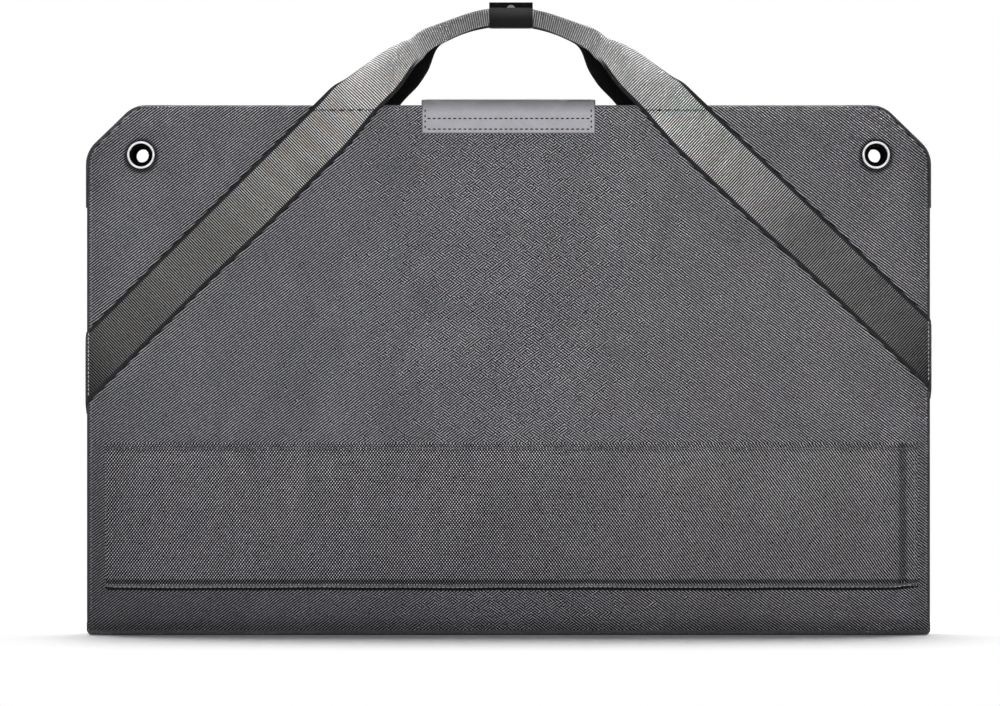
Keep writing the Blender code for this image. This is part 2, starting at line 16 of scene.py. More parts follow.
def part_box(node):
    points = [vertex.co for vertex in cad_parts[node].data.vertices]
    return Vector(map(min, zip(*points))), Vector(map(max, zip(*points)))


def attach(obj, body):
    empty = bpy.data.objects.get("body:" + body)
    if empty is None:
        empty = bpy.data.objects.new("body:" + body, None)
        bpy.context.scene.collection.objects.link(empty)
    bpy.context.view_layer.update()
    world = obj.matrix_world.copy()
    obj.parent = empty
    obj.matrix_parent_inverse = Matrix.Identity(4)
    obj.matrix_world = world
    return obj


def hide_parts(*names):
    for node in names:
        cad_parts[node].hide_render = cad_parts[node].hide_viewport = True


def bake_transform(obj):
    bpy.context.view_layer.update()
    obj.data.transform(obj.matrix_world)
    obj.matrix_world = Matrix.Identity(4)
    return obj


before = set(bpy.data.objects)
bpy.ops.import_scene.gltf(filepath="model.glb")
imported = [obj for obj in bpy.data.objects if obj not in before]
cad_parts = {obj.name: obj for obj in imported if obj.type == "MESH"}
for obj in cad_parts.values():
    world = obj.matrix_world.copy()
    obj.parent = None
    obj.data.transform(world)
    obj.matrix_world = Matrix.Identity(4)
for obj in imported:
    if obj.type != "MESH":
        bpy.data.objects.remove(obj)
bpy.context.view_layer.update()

# Leaf sizes, from the frame
COVER_LOW, COVER_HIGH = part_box("front_cover")
CASE_HALF = COVER_HIGH.x
LEAF_LOW = COVER_LOW.z
LEAF_TOP = COVER_HIGH.z
LEAF_INNER = -COVER_HIGH.y
LEAF_OUTER = -COVER_LOW.y
CORNER_CUT = 0.0376
CORNER_RADIUS = 0.024
FOOT_RADIUS = 0.0008

# Cover cloth
COVER_WALL = 0.0011
EDGE_ROUND = 0.003
FOOT_ROUND = 0.0003
EDGE_STITCH_INSET = 0.0036
EDGE_BAND = 0.0026
TAPE_REACH = 68
STITCH_GROOVE = 0.00025
FACE_INSET = 0.0075
OUTLINE_SPACING = 0.005
FACE_SPACING = 0.009
SLACK = 0.00022
WEAVE = (0.0030, 0.00225)
WEAVE_DRIFT = 0.0011
LEAN_PATCH = 150.0
SLANT_REACH = 0.42
SLANT_TONE = 0.72

# Eyelets
EYELET_LOW, EYELET_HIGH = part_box("front_eyelet_right")
EYELET_X = (EYELET_LOW.x + EYELET_HIGH.x) / 2
EYELET_Z = (EYELET_LOW.z + EYELET_HIGH.z) / 2
EYELET_BORE = 0.0055
EYELET_HOLE = 0.0068
EYELET_FLANGE = 0.0112
EYELET_DIMPLE = 0.0006
ROUND_STEPS = 64

# Webbing
WEB_WIDTH = 0.0395
WEB_THICKNESS = 0.0018
RIB_PITCH = 0.00175
RIB_HEIGHT = 0.00012
ROWS_PER_RIB = 3
SELVAGE = 0.0026
STRAP_OUT = 0.0172
STRAP_SIDE_X = 0.3352
STRAP_BEND = 0.0042
STRAP_BEND_X = 0.3336
STRAP_CUT_X = 0.3450
SEAM_HEIGHT = 0.4228
SEAM_STITCH_HEIGHT = 0.4197
SEAM_ZIGZAG = 0.0008
SEAM_STEP = 0.0018
SEAM_DENT = 0.0006
STRAP_SPREAD = (0.0014, 0.0031)
LOOP_START = 0.423
LOOP_FOOT_OUT = 0.0173
FOLD_RADIUS = 0.0026
WRAP_CENTRE = 0.002
WRAP_HALF = 0.0175
# Painted shade on the grip wrap leather: darker up its back, under the grip and low on its front
WRAP_PAINTED_SHADE = (0.0450, 0.0340, 0.15)

# Leather closure
CLOSURE_HALF = 0.0695
CLOSURE_LOW = 0.4008
CLOSURE_LEATHER = 0.0014
CLOSURE_OUT = 0.0170
CLOSURE_BEND = 0.003
TONGUE_HEIGHT = 0.42785
TONGUE_BACK = -0.012
# Painted shade on the closure leather: darker from high on its front over the top edge and along the tongue
CLOSURE_PAINTED_SHADE = (0.0150, 0.0262, 0.46)

# Kickstand flap
STAND_LEFT = -0.322
STAND_RIGHT = 0.328
STAND_LOW = 0.0384
STAND_SEAM = 0.3150
# How far the sleeve's near-black back hangs below its hem: a painted shadow line under the flap
STAND_BACK_DROP = 0.0026
STAND_HEM = 0.0018
STAND_LIP = 0.0209

# Painted shade and light on the cloth: darker foot and edges of the case with a lighter top edge, a darker patch at its
# left foot, darker grooves and ends of the kickstand flap, and a painted shadow round the eyelets
CASE_PAINTED_LIGHT_AND_SHADE = (
    # painted shade at the foot, painted light along the top edge, painted shade down both sides
    (1, 0.0, 0.003, 0.018, 0.6),
    (1, LEAF_TOP, 0.003, 0.022, 1.16),
    (0, -CASE_HALF, 0.006, 0.024, 0.82),
    (0, CASE_HALF, 0.006, 0.024, 0.82),
)
# Painted shade over the left foot of the case
CORNER_SHADE = (-CASE_HALF, 0.30, 0.24, 0.70)
STAND_PAINTED_SHADE = (
    # painted shade in the seam dent, in the groove above the hem, and towards both ends of the flap
    (0, STAND_SEAM, 0.0012, 0.0050, 0.5),
    (1, STAND_LOW + 0.0046, 0.0010, 0.0026, 0.35),
    (0, STAND_LEFT, 0.004, 0.040, 0.84),
    (0, STAND_RIGHT, 0.03, 0.25, 0.87),
    (0, STAND_RIGHT, 0.008, 0.030, 0.92),
)
# Painted shadow in a ring round each eyelet, set a little below its centre
EYELET_PAINTED_SHADOW = (EYELET_X, EYELET_Z - 0.0008, 0.0120, 0.0158, 0.16)

# Solar film and spine
CELL_CUT = 0.011
SPINE_CORNER = 0.0045
FOOT_FOLD = 0.0040

CLOTH_MAP = "Cloth"


# Mesh building


def smooth_share(value, start, end):
    share = np.clip((value - start) / (end - start), 0.0, 1.0)
    return share * share * (3 - 2 * share)


def smoothed(values, spread=15):
    """A row of numbers, each averaged with its neighbours."""
    window = np.hanning(2 * spread + 1)
    padded = np.pad(values, spread, mode="reflect", reflect_type="odd")
    return np.convolve(padded, window / window.sum(), "valid")


def unit(vector):
    return vector / np.linalg.norm(vector, axis=-1, keepdims=True)


class Shape:
    """Points and faces that grow into one mesh, in leaf coordinates.

    Every face corner has a flat coordinate, its place on the uncut cloth in metres.
    """

    def __init__(self):
        self.points = []
        self.faces = []
        self.flats = []
        self.finishes = []
        self.count = 0

    def add(self, points, faces, flats, finish=0):
        points = np.asarray(points, float).reshape(-1, 3)
        faces = np.asarray(faces, int)
        self.points.append(points)
        self.faces.append(faces + self.count)
        self.flats.append(np.asarray(flats, float).reshape(-1, 2))
        self.finishes.append(np.broadcast_to(finish, (len(faces),)))
        self.count += len(points)

    def grid(self, points, flat, finish=0):
        """Quads over a (rows, columns, 3) array, with (rows, columns, 2) flat coordinates."""
        rows, columns = points.shape[:2]
        index = np.arange(rows * columns).reshape(rows, columns)
        corners = (index[:-1, :-1], index[:-1, 1:], index[1:, 1:], index[1:, :-1])
        faces = np.stack(corners, axis=-1).reshape(-1, 4)
        if np.ndim(finish) == 1:
            finish = np.tile(finish, rows - 1)
        elif np.ndim(finish) == 2:
            finish = finish.ravel()
        self.add(points, faces, flat.reshape(-1, 2)[faces], finish)

    def loft(self, sections, flat, finish=0, caps=(True, True)):
        """A skin over a row of closed sections, with (sections, points + 1, 2) flat coordinates."""
        closed = np.concatenate([sections, sections[:, :1]], axis=1)
        self.grid(closed, flat, finish)
        cap_finish = np.ravel(finish)[0]
        for row, wanted in zip((0, -1), caps):
            if wanted:
                self.add(sections[row], [range(sections.shape[1])], flat[row, :-1], cap_finish)

    def fill(self, loops, lift, inside=(), finish=0):
        """Triangles inside the first flat (x, z) loop and outside the others, through extra points."""
        places, edges = [], []
        for loop in loops:
            start = len(places)
            places += [tuple(p) for p in loop]
            edges += [(start + n, start + (n + 1) % len(loop)) for n in range(len(loop))]
        places += [tuple(p) for p in inside]
        vectors = [Vector(p) for p in places]
        made, _, faces, *_ = geometry.delaunay_2d_cdt(vectors, edges, [], 1, 1e-7)
        flat = np.array([tuple(p) for p in made])
        faces = np.array(faces)
        middles = flat[faces].mean(axis=1)
        keep = inside_loop(middles, loops[0])
        for hole in loops[1:]:
            keep &= ~inside_loop(middles, hole)
        faces = faces[keep]
        points = np.column_stack([flat[:, 0], lift(flat[:, 0], flat[:, 1]), flat[:, 1]])
        self.add(points, faces, flat[faces], finish)

    def make(self, name, materials, turn=1, smooth=40):
        """A mesh object in the frame. turn is -1 for pieces of the rear leaf."""
        points = np.concatenate(self.points) * (turn, -turn, 1)
        faces = [face for group in self.faces for face in group.tolist()]
        mesh = bpy.data.meshes.new(name)
        mesh.from_pydata(points.tolist(), [], faces)
        layer = mesh.uv_layers.new(name=CLOTH_MAP)
        layer.data.foreach_set("uv", np.concatenate(self.flats).astype(np.float32).ravel())
        finishes = np.concatenate(self.finishes).astype(np.int32)
        mesh.polygons.foreach_set("material_index", finishes)
        for material in materials:
            mesh.materials.append(material)
        bm = bmesh.new()
        bm.from_mesh(mesh)
        bmesh.ops.remove_doubles(bm, verts=bm.verts, dist=1e-6)
        bmesh.ops.recalc_face_normals(bm, faces=bm.faces)
        bm.to_mesh(mesh)
        bm.free()
        mesh.shade_smooth()
        mesh.set_sharp_from_angle(angle=math.radians(smooth))
        piece = bpy.data.objects.new(name, mesh)
        bpy.context.scene.collection.objects.link(piece)
        return piece


def inside_loop(points, loop):
    """Which flat points lie inside a closed loop."""
    inside = np.zeros(len(points), bool)
    for (x0, z0), (x1, z1) in zip(loop, np.roll(loop, -1, axis=0)):
        if z0 != z1:
            crosses = (z0 > points[:, 1]) != (z1 > points[:, 1])
            inside ^= crosses & (points[:, 0] < x0 + (points[:, 1] - z0) * (x1 - x0) / (z1 - z0))
    return inside


def rounded_loop(corners, arc_steps, edge_steps):
    """A closed anticlockwise run round (x, z, radius) corners, with its outward normals."""
    places = np.array([corner[:2] for corner in corners])
    ahead = unit(np.roll(places, -1, axis=0) - places)
    arcs = []
    for n, (x, z, radius) in enumerate(corners):
        before, after = ahead[n - 1], ahead[n]
        turn = math.atan2(before[0] * after[1] - before[1] * after[0], before @ after)
        start = places[n] - before * radius * math.tan(turn / 2)
        facing = math.atan2(-before[0], before[1])
        angles = facing + turn * np.linspace(0, 1, arc_steps + 1)
        directions = np.column_stack([np.cos(angles), np.sin(angles)])
        arcs.append((start - directions[0] * radius + directions * radius, directions))
    points, normals = [], []
    for n, (arc, directions) in enumerate(arcs):
        points.append(arc)
        normals.append(directions)
        steps = edge_steps[n]
        share = np.linspace(0, 1, steps + 1)[1:-1, None]
        points.append(arc[-1] + (arcs[(n + 1) % len(arcs)][0][0] - arc[-1]) * share)
        normals.append(np.repeat(directions[-1:], steps - 1, axis=0))
    return np.concatenate(points), np.concatenate(normals)


def leaf_corners(inset):
    half = CASE_HALF - inset
    low = LEAF_LOW + inset
    top = LEAF_TOP - inset
    cut = CORNER_CUT - inset * (2 - math.sqrt(2))
    turn = CORNER_RADIUS - inset
    foot = max(FOOT_RADIUS - inset, 0.0003)
    right = [(half, low, foot), (half, top - cut, turn), (half - cut, top, turn)]
    left = [(cut - half, top, turn), (-half, top - cut, turn), (-half, low, foot)]
    return right + left


def edge_steps(corners, spacing):
    places = np.array([corner[:2] for corner in corners])
    lengths = np.linalg.norm(np.roll(places, -1, axis=0) - places, axis=1)
    return [max(2, round(length / spacing)) for length in lengths]


LEAF_EDGE_STEPS = edge_steps(leaf_corners(0), OUTLINE_SPACING)


def leaf_outline(inset):
    return rounded_loop(leaf_corners(inset), 8, LEAF_EDGE_STEPS)


def depth_inside(x, z):
    """How far a point of the leaf's face is from its edge."""
    cut = (CASE_HALF + LEAF_TOP - CORNER_CUT - np.abs(x) - z) / math.sqrt(2)
    sides = np.minimum(CASE_HALF - np.abs(x), np.minimum(z - LEAF_LOW, LEAF_TOP - z))
    return np.minimum(cut, sides)


def circle(centre_x, centre_z, radius, steps=ROUND_STEPS):
    turns = np.linspace(0, 2 * math.pi, steps, endpoint=False)
    return np.column_stack([centre_x + radius * np.cos(turns), centre_z + radius * np.sin(turns)])


def rectangle(left, right, low, high, radius):
    return [(right, low, radius), (right, high, radius), (left, high, radius), (left, low, radius)]


def at_out(loop, out):
    return np.column_stack([loop[:, 0], np.broadcast_to(out, len(loop)), loop[:, 1]])


def flat_rings(rings):
    """Flat coordinates of a stack of (x, z) rings, each closed on itself."""
    return np.stack([np.concatenate([ring, ring[:1]]) for ring in rings])


def turned(shape, profile, centre_x, centre_z, finishes=0):
    """A closed (radius, out) profile turned about an axis square to the leaf."""
    rings = [at_out(circle(centre_x, centre_z, radius), out) for radius, out in profile]
    rings.append(rings[0])
    points = np.stack(rings)
    points = np.concatenate([points, points[:, :1]], axis=1)
    spread = np.broadcast_to(np.reshape(finishes, (-1, 1)), (len(profile), ROUND_STEPS))
    shape.grid(points, points[..., [0, 2]], spread)


def stitch_row(shape, path, facing, pitch, length, thread):
    """Thread dashes along a path of points, lying on a surface that faces one way."""
    path = np.asarray(path, float)
    facing = np.broadcast_to(np.asarray(facing, float), path.shape)
    run = np.concatenate([[0], np.cumsum(np.linalg.norm(np.diff(path, axis=0), axis=1))])
    count = int(run[-1] / pitch)
    starts = (run[-1] - count * pitch) / 2 + pitch * np.arange(count) + (pitch - length) / 2
    share = np.linspace(0, 1, 5)
    places = starts[:, None] + length * share
    middle = np.stack([np.interp(places, run, path[:, n]) for n in range(3)], axis=-1)
    up = unit(np.stack([np.interp(places, run, facing[:, n]) for n in range(3)], axis=-1))
    ahead = unit(np.gradient(middle, axis=1))
    side = np.cross(ahead, up)
    arch = 1 - (2 * share - 1) ** 2
    middle = middle + up * (thread * (0.9 * arch - 0.35))[None, :, None]
    thick = thread * (0.45 + 0.55 * arch ** 0.5)[None, :, None, None]
    turns = np.linspace(0, 2 * math.pi, 6, endpoint=False)
    ring = side[:, :, None] * np.cos(turns)[:, None] + 0.85 * up[:, :, None] * np.sin(turns)[:, None]
    points = (middle[:, :, None] + ring * thick).reshape(-1, 3)
    index = np.arange(count * 30).reshape(count, 5, 6)
    after = np.roll(index, -1, axis=2)
    quads = np.stack([index[:, :-1], after[:, :-1], after[:, 1:], index[:, 1:]], axis=-1).reshape(-1, 4)
    flat = points[:, [0, 2]]
    shape.add(points, quads, flat[quads])
    for caps in (index[:, 0], index[:, -1]):
        shape.add(points, caps, flat[caps])


def sheet_sections(path, columns, thickness):
    """Closed sections of a sheet with rounded sides. path is its (out, z) middle line."""
    path = np.asarray(path, float)
    ahead = unit(np.gradient(path, axis=0))
    across = np.column_stack([-ahead[:, 1], ahead[:, 0]])
    half = np.full(len(columns), thickness / 2)
    half[[0, -1]] *= 0.72
    taper = np.ones(len(path))
    taper[[0, -1]] = 0.72
    rim = thickness * 0.25
    xs = np.concatenate([columns, [columns[-1] + rim], columns[::-1], [columns[0] - rim]])
    lifts = np.concatenate([half, [0], -half[::-1], [0]])
    lift = taper[:, None] * lifts[None, :]
    out = path[:, :1] + across[:, :1] * lift
    height = path[:, 1:] + across[:, 1:] * lift
    return np.stack([np.broadcast_to(xs, out.shape), out, height], axis=-1)


def sheet_flat(path, columns):
    path = np.asarray(path, float)
    run = np.concatenate([[0], np.cumsum(np.linalg.norm(np.diff(path, axis=0), axis=1))])
    xs = np.concatenate([columns, [columns[-1]], columns[::-1], [columns[0]], columns[:1]])
    return np.stack(np.broadcast_arrays(xs[None, :], run[:, None]), axis=-1)


def loop_area(loop):
    x, z = loop.T
    return abs(float(np.sum(x * np.roll(z, -1) - z * np.roll(x, -1)))) / 2


def even(start, end, spacing):
    return np.linspace(start, end, max(2, int(abs(end - start) / spacing) + 1))


def arc_points(centre, radius, start, end, steps):
    """Points of an arc in an (out, z) section, angles in degrees from the out direction."""
    angles = np.radians(np.linspace(start, end, steps + 1))
    return [(centre[0] + radius * math.cos(a), centre[1] + radius * math.sin(a)) for a in angles]


# Materials


def linear(*colour):
    """A display colour, 0 to 255, as linear light."""
    shares = [value / 255 for value in colour]
    return [s / 12.92 if s <= 0.04045 else ((s + 0.055) / 1.055) ** 2.4 for s in shares]


class Nodes:
    """A material under construction, with short calls for the nodes it uses."""

    def __init__(self, name, roughness=0.6, metallic=0.0):
        self.material = bpy.data.materials.new(name)
        self.material.use_nodes = True
        self.tree = self.material.node_tree
        self.shader = self.tree.nodes["Principled BSDF"]
        self.shader.inputs["Roughness"].default_value = roughness
        self.shader.inputs["Metallic"].default_value = metallic

    def add(self, kind, settings=None, **inputs):
        node = self.tree.nodes.new(kind)
        for key, value in (settings or {}).items():
            setattr(node, key, value)
        for key, value in inputs.items():
            self.feed(node.inputs[key.replace("_", " ")], value)
        return node

    def feed(self, socket, value):
        if isinstance(value, bpy.types.NodeSocket):
            self.tree.links.new(value, socket)
        else:
            socket.default_value = value

    def math(self, operation, first, second=0.0, clamp=False):
        node = self.add("ShaderNodeMath", {"operation": operation, "use_clamp": clamp})
        self.feed(node.inputs[0], first)
        self.feed(node.inputs[1], second)
        return node.outputs[0]

    def stretch(self, value, low, high, start=0.0, end=1.0):
        node = self.add("ShaderNodeMapRange", {"interpolation_type": "SMOOTHSTEP"})
        for socket, number in zip(node.inputs, (value, low, high, start, end)):
            self.feed(socket, number)
        return node.outputs[0]

    def cloth(self):
        """The flat cloth coordinate, and its two parts."""
        place = self.add("ShaderNodeUVMap", {"uv_map": CLOTH_MAP}).outputs[0]
        split = self.add("ShaderNodeSeparateXYZ", Vector=place)
        return place, split.outputs[0], split.outputs[1]

    def space(self):
        return self.add("ShaderNodeTexCoord").outputs["Object"]

    def scaled(self, vector, factors):
        node = self.add("ShaderNodeVectorMath", {"operation": "MULTIPLY"})
        self.feed(node.inputs[0], vector)
        self.feed(node.inputs[1], factors)
        return node.outputs[0]

    def noise(self, vector, scale, detail=2.0):
        node = self.add("ShaderNodeTexNoise", Vector=vector, Scale=scale, Detail=detail)
        return node.outputs[0]

    def cells(self, vector, scale):
        node = self.add("ShaderNodeTexVoronoi", Vector=vector, Scale=scale)
        return node.outputs["Distance"]

    def drift(self, vector, scale, reach):
        """A length that wanders either side of nothing."""
        return self.math("MULTIPLY", self.math("SUBTRACT", self.noise(vector, scale), 0.5), reach)

    def apart(self, value, place):
        return self.math("ABSOLUTE", self.math("SUBTRACT", value, place))

    def radius(self, first, second):
        return self.math("SQRT", self.math("ADD", self.math("POWER", first, 2.0), self.math("POWER", second, 2.0)))

    def wave(self, value, repeat):
        return self.math("COSINE", self.math("MULTIPLY", value, 2 * math.pi / repeat))

    def blend(self, share, first, second):
        """A number that goes from the first to the second with the share."""
        node = self.add("ShaderNodeMix", {"data_type": "FLOAT"})
        for socket, value in zip(node.inputs[:1] + node.inputs[2:4], (share, first, second)):
            self.feed(socket, value)
        return node.outputs[0]

    def ramp(self, value, stops):
        """A number read off straight lines through (place, number) stops."""
        reach = stops[-1][0]
        node = self.add("ShaderNodeValToRGB")
        bar = node.color_ramp.elements
        while len(bar) < len(stops):
            bar.new(0.5)
        for element, (place, number) in zip(bar, stops):
            element.position = place / reach
            element.color = (number, number, number, 1)
        self.feed(node.inputs[0], self.math("DIVIDE", value, reach))
        return node.outputs[0]

    def mix(self, factor, first, second, blend="MIX"):
        node = self.add("ShaderNodeMix", {"data_type": "RGBA", "blend_type": blend})
        self.feed(node.inputs["Factor"], factor)
        self.feed(node.inputs[6], first)
        self.feed(node.inputs[7], second)
        return node.outputs[2]

    def tint(self, colour, value):
        """Multiply a colour by a number."""
        grey = self.add("ShaderNodeCombineColor", Red=value, Green=value, Blue=value)
        return self.mix(1.0, colour, grey.outputs[0], "MULTIPLY")

    def bump(self, height, depth, strength=1.0):
        node = self.add("ShaderNodeBump", Height=height, Distance=depth, Strength=strength)
        self.feed(self.shader.inputs["Normal"], node.outputs[0])

    def colour(self, value):
        self.feed(self.shader.inputs["Base Color"], value)

    def rough(self, value, low, high):
        self.feed(self.shader.inputs["Roughness"], self.stretch(value, 0.3, 0.7, low, high))

    def set(self, **values):
        for key, value in values.items():
            self.shader.inputs[key.replace("_", " ")].default_value = value


def rgba(colour, factor=1.0):
    return (*(part * factor for part in linear(*colour)), 1.0)


EVEN_LEAN = (0.5, 0.5, 0.25, 0.0)
CASE_LEAN = (0.88, 0.12, 0.06, 0.8)
STAND_LEAN = (0.66, 0.16, 0.25, 0.0)


def woven(name, dark, bright, repeat, lean=EVEN_LEAN, cut=(0.0, 0.7), depth=0.0002, painted_lighting=(), painted_ring_shadow=None,
          shaded=None):
    """Cloth of floats on slanting lines.

    lean is the share of rising lines on its left and on its right, half the width over which they change, and
    how far the place of that change wanders.
    worn lists (axis, place, near, far, tone): lines of the cloth given painted shade (a darker tone) and painted light
    (a lighter tone).
    pressed is (x, z, near, far, tone) of a painted shadow in a ring round a point and round its mirror image.
    shaded is (x, reach in x, reach in z, tone) of a patch of painted shade that fades out from that x at the foot.
    """
    n = Nodes(name)
    place, across, along = n.cloth()
    left_share, right_share, half_change, wander = lean
    spot = n.math("ADD", across, n.drift(place, LEAN_PATCH, wander)) if wander else across
    share = n.stretch(spot, -half_change, half_change, left_share, right_share)
    slant = n.apart(share, 0.5)
    tones = [n.stretch(slant, 0.0, SLANT_REACH, 1.0, SLANT_TONE)]
    for axis, line, near, far, tone in painted_lighting:
        tones.append(n.stretch(n.apart((across, along)[axis], line), near, far, tone, 1.0))
    if painted_ring_shadow is not None:
        sideways = n.apart(n.math("ABSOLUTE", across), painted_ring_shadow[0])
        ring = n.radius(sideways, n.apart(along, painted_ring_shadow[1]))
        tones.append(n.stretch(ring, painted_ring_shadow[2], painted_ring_shadow[3], painted_ring_shadow[4], 1.0))
    if shaded is not None:
        sideways = n.math("DIVIDE", n.apart(across, shaded[0]), shaded[1])
        away = n.radius(sideways, n.math("DIVIDE", along, shaded[2]))
        tones.append(n.stretch(away, 0.05, 1.0, shaded[3], 1.0))
    across = n.math("ADD", across, n.drift(place, 60.0, WEAVE_DRIFT))
    across = n.math("MULTIPLY", across, 2 * math.pi / repeat[0])
    along = n.math("ADD", along, n.drift(place, 85.0, WEAVE_DRIFT))
    along = n.math("MULTIPLY", along, 2 * math.pi / repeat[1])
    rising = n.math("COSINE", n.math("SUBTRACT", across, along))
    falling = n.math("COSINE", n.math("ADD", across, along))
    floats = n.blend(share, falling, rising)
    fibres = n.noise(place, 2600.0, 3.0)
    # The float pattern's dark and bright colours are painted shade between the floats and painted highlight on them
    shades = n.mix(n.stretch(floats, *cut), rgba(dark), rgba(bright))
    patches = n.stretch(n.noise(n.space(), 14.0, 3.0), 0.25, 0.75, 0.94, 1.06)
    flecks = n.stretch(n.noise(place, 900.0, 2.0), 0.25, 0.75, 0.55, 1.45)
    for tone in [patches, flecks] + tones:
        shades = n.tint(shades, tone)
    n.colour(shades)
    n.rough(fibres, 0.75, 0.92)
    n.set(Sheen_Weight=0.04, Specular_IOR_Level=0.12)
    n.bump(n.math("ADD", floats, fibres), depth, 0.6)
    return n.material


# Painted light and shade of the webbing: its mean tone at lengths from the middle of the grip, as a share of the tone
# at the loop
WEBBING_PAINTED_LIGHT = (
    (0.0, 0.42), (0.05, 0.535), (0.09, 0.98), (0.14, 1.03), (0.21, 0.685), (0.30, 0.405), (0.41, 0.275), (0.46, 0.09)
)


def ribbed_webbing():
    """Light ribs across the length with painted shade in the dark grooves between, dark selvages, and painted light and
    shade along the length: lightest on the loop, darker towards the sewn ends.
    """
    n = Nodes("webbing_ribbed")
    place, across, along = n.cloth()
    wobble = n.math("MULTIPLY", n.math("SUBTRACT", n.noise(place, 260.0), 0.5), 0.0005)
    ribs = n.wave(n.math("ADD", along, wobble), RIB_PITCH)
    length = n.math("ABSOLUTE", along)
    tone = n.ramp(length, WEBBING_PAINTED_LIGHT)
    # Painted light: a lighter band on the upper part of the right-hand strap
    painted_lighting = n.math("MULTIPLY", n.stretch(along, 0.12, 0.17), n.stretch(along, 0.32, 0.23))
    tone = n.math("MULTIPLY", tone, n.stretch(painted_lighting, 0.0, 1.0, 1.0, 1.22))
    threads = n.stretch(n.noise(n.scaled(place, (900.0, 350.0, 1.0)), 1.0, 2.0), 0.25, 0.75, 0.8, 1.2)
    # Painted shade in the grooves between the ribs, lighter on the loop than on the straps
    grooves = n.mix(n.stretch(length, 0.06, 0.2), rgba((112, 112, 112)), rgba((8, 8, 9)))
    shades = n.mix(n.stretch(ribs, 0.0, 0.9), grooves, rgba((236, 236, 237)))
    shades = n.tint(shades, n.math("MULTIPLY", tone, threads))
    rim = WEB_WIDTH / 2 - SELVAGE
    inner = n.math("MULTIPLY", n.stretch(across, 0.0004 - rim, -rim), n.stretch(length, 0.075, 0.095))
    turned_back = n.math("SUBTRACT", across, n.stretch(length, 0.125, 0.170, SELVAGE - 0.0007, 0.0))
    outer = n.math("MULTIPLY", n.stretch(turned_back, rim - 0.0004, rim), n.stretch(length, 0.105, 0.125))
    n.colour(n.mix(n.math("MAXIMUM", inner, outer), shades, n.tint(rgba((38, 38, 41)), threads)))
    n.rough(threads, 0.65, 0.85)
    n.set(Sheen_Weight=0.04, Specular_IOR_Level=0.15)
    n.bump(n.math("ADD", n.math("MULTIPLY", ribs, 0.6), threads), 0.00012, 0.6)
    return n.material


def grained_leather(name, colour, grain, roughness, gloss=0.2, bend=None, half=None):
    """Coated leather with a pebbled grain.

    bend gives where along the cut it darkens with painted shade, and half is half the width of one with dark edges.
    """
    n = Nodes(name)
    place, across, along = n.cloth()
    pebbles = n.cells(place, grain)
    pores = n.noise(place, grain * 2.4, 3.0)
    patches = n.stretch(n.noise(place, 60.0, 3.0), 0.25, 0.75, 0.94, 1.06)
    creases = n.stretch(pebbles, 0.15, 0.6, 0.93, 1.04)
    shades = n.tint(n.tint(rgba(colour), patches), creases)
    if bend is not None:
        shades = n.tint(shades, n.stretch(along, bend[0], bend[1], 1.0, bend[2]))
    if half is not None:
        shades = n.tint(shades, n.stretch(n.math("ABSOLUTE", across), half - 0.0013, half - 0.0003, 1.0, 0.3))
        shades = n.tint(shades, n.stretch(along, 0.0003, 0.0012, 0.3, 1.0))
    n.colour(shades)
    n.rough(pores, roughness - 0.06, roughness + 0.08)
    n.set(Specular_IOR_Level=gloss)
    n.bump(n.math("SUBTRACT", pores, pebbles), 0.00018, 0.5)
    return n.material


def thread(name, colour):
    n = Nodes(name, 0.7)
    strands = n.noise(n.space(), 2200.0, 2.0)
    n.colour(n.tint(rgba(colour), n.stretch(strands, 0.3, 0.7, 0.75, 1.2)))
    n.rough(strands, 0.55, 0.8)
    n.set(Sheen_Weight=0.02, Specular_IOR_Level=0.15)
    n.bump(strands, 0.0001, 0.6)
    return n.material


def polished_metal(name, colour, rough):
    n = Nodes(name, metallic=1.0)
    place = n.space()
    scratches = n.noise(n.scaled(place, (300.0, 2600.0, 300.0)), 1.0, 3.0)
    n.colour(n.tint(rgba(colour), n.stretch(n.noise(place, 260.0, 3.0), 0.25, 0.75, 0.93, 1.03)))
    n.rough(scratches, *rough)
    n.bump(scratches, 0.00002, 0.3)
    return n.material


def moulded(name, colour, grain, rough, depth=0.00006, gloss=0.4):
    """Moulded or press-formed solid: plastic, board or magnet, with a fine eroded grain."""
    n = Nodes(name)
    place = n.space()
    speckle = n.noise(place, grain, 4.0)
    patches = n.stretch(n.noise(place, 24.0, 3.0), 0.25, 0.75, 0.9, 1.1)
    n.colour(n.tint(n.tint(rgba(colour), patches), n.stretch(speckle, 0.25, 0.75, 0.88, 1.12)))
    n.rough(speckle, *rough)
    n.set(Specular_IOR_Level=gloss)
    n.bump(speckle, depth, 0.6)
    return n.material


def solar_cell():
    """Dark blue cell under dimpled film, with hair-thin contact lines."""
    n = Nodes("solar_cell", 0.3)
    place, across, along = n.cloth()
    fingers = n.stretch(n.wave(along, 0.0018), 0.86, 0.97)
    crystals = n.noise(place, 45.0, 3.0)
    shades = n.mix(crystals, rgba((9, 11, 26)), rgba((20, 25, 48)))
    n.colour(n.mix(n.math("MULTIPLY", fingers, 0.3), shades, rgba((120, 124, 138))))
    dimples = n.cells(place, 620.0)
    n.rough(dimples, 0.2, 0.38)
    n.set(Specular_IOR_Level=0.3, Coat_Weight=0.15, Coat_Roughness=0.25)
    n.bump(dimples, 0.0002, 0.5)
    return n.material


def back_film():
    n = Nodes("solar_back_film", 0.5)
    place, _, _ = n.cloth()
    dimples = n.cells(place, 620.0)
    n.colour(n.tint(rgba((30, 31, 35)), n.stretch(dimples, 0.1, 0.6, 0.8, 1.15)))
    n.rough(dimples, 0.38, 0.58)
    n.bump(dimples, 0.0002, 0.5)
    return n.material


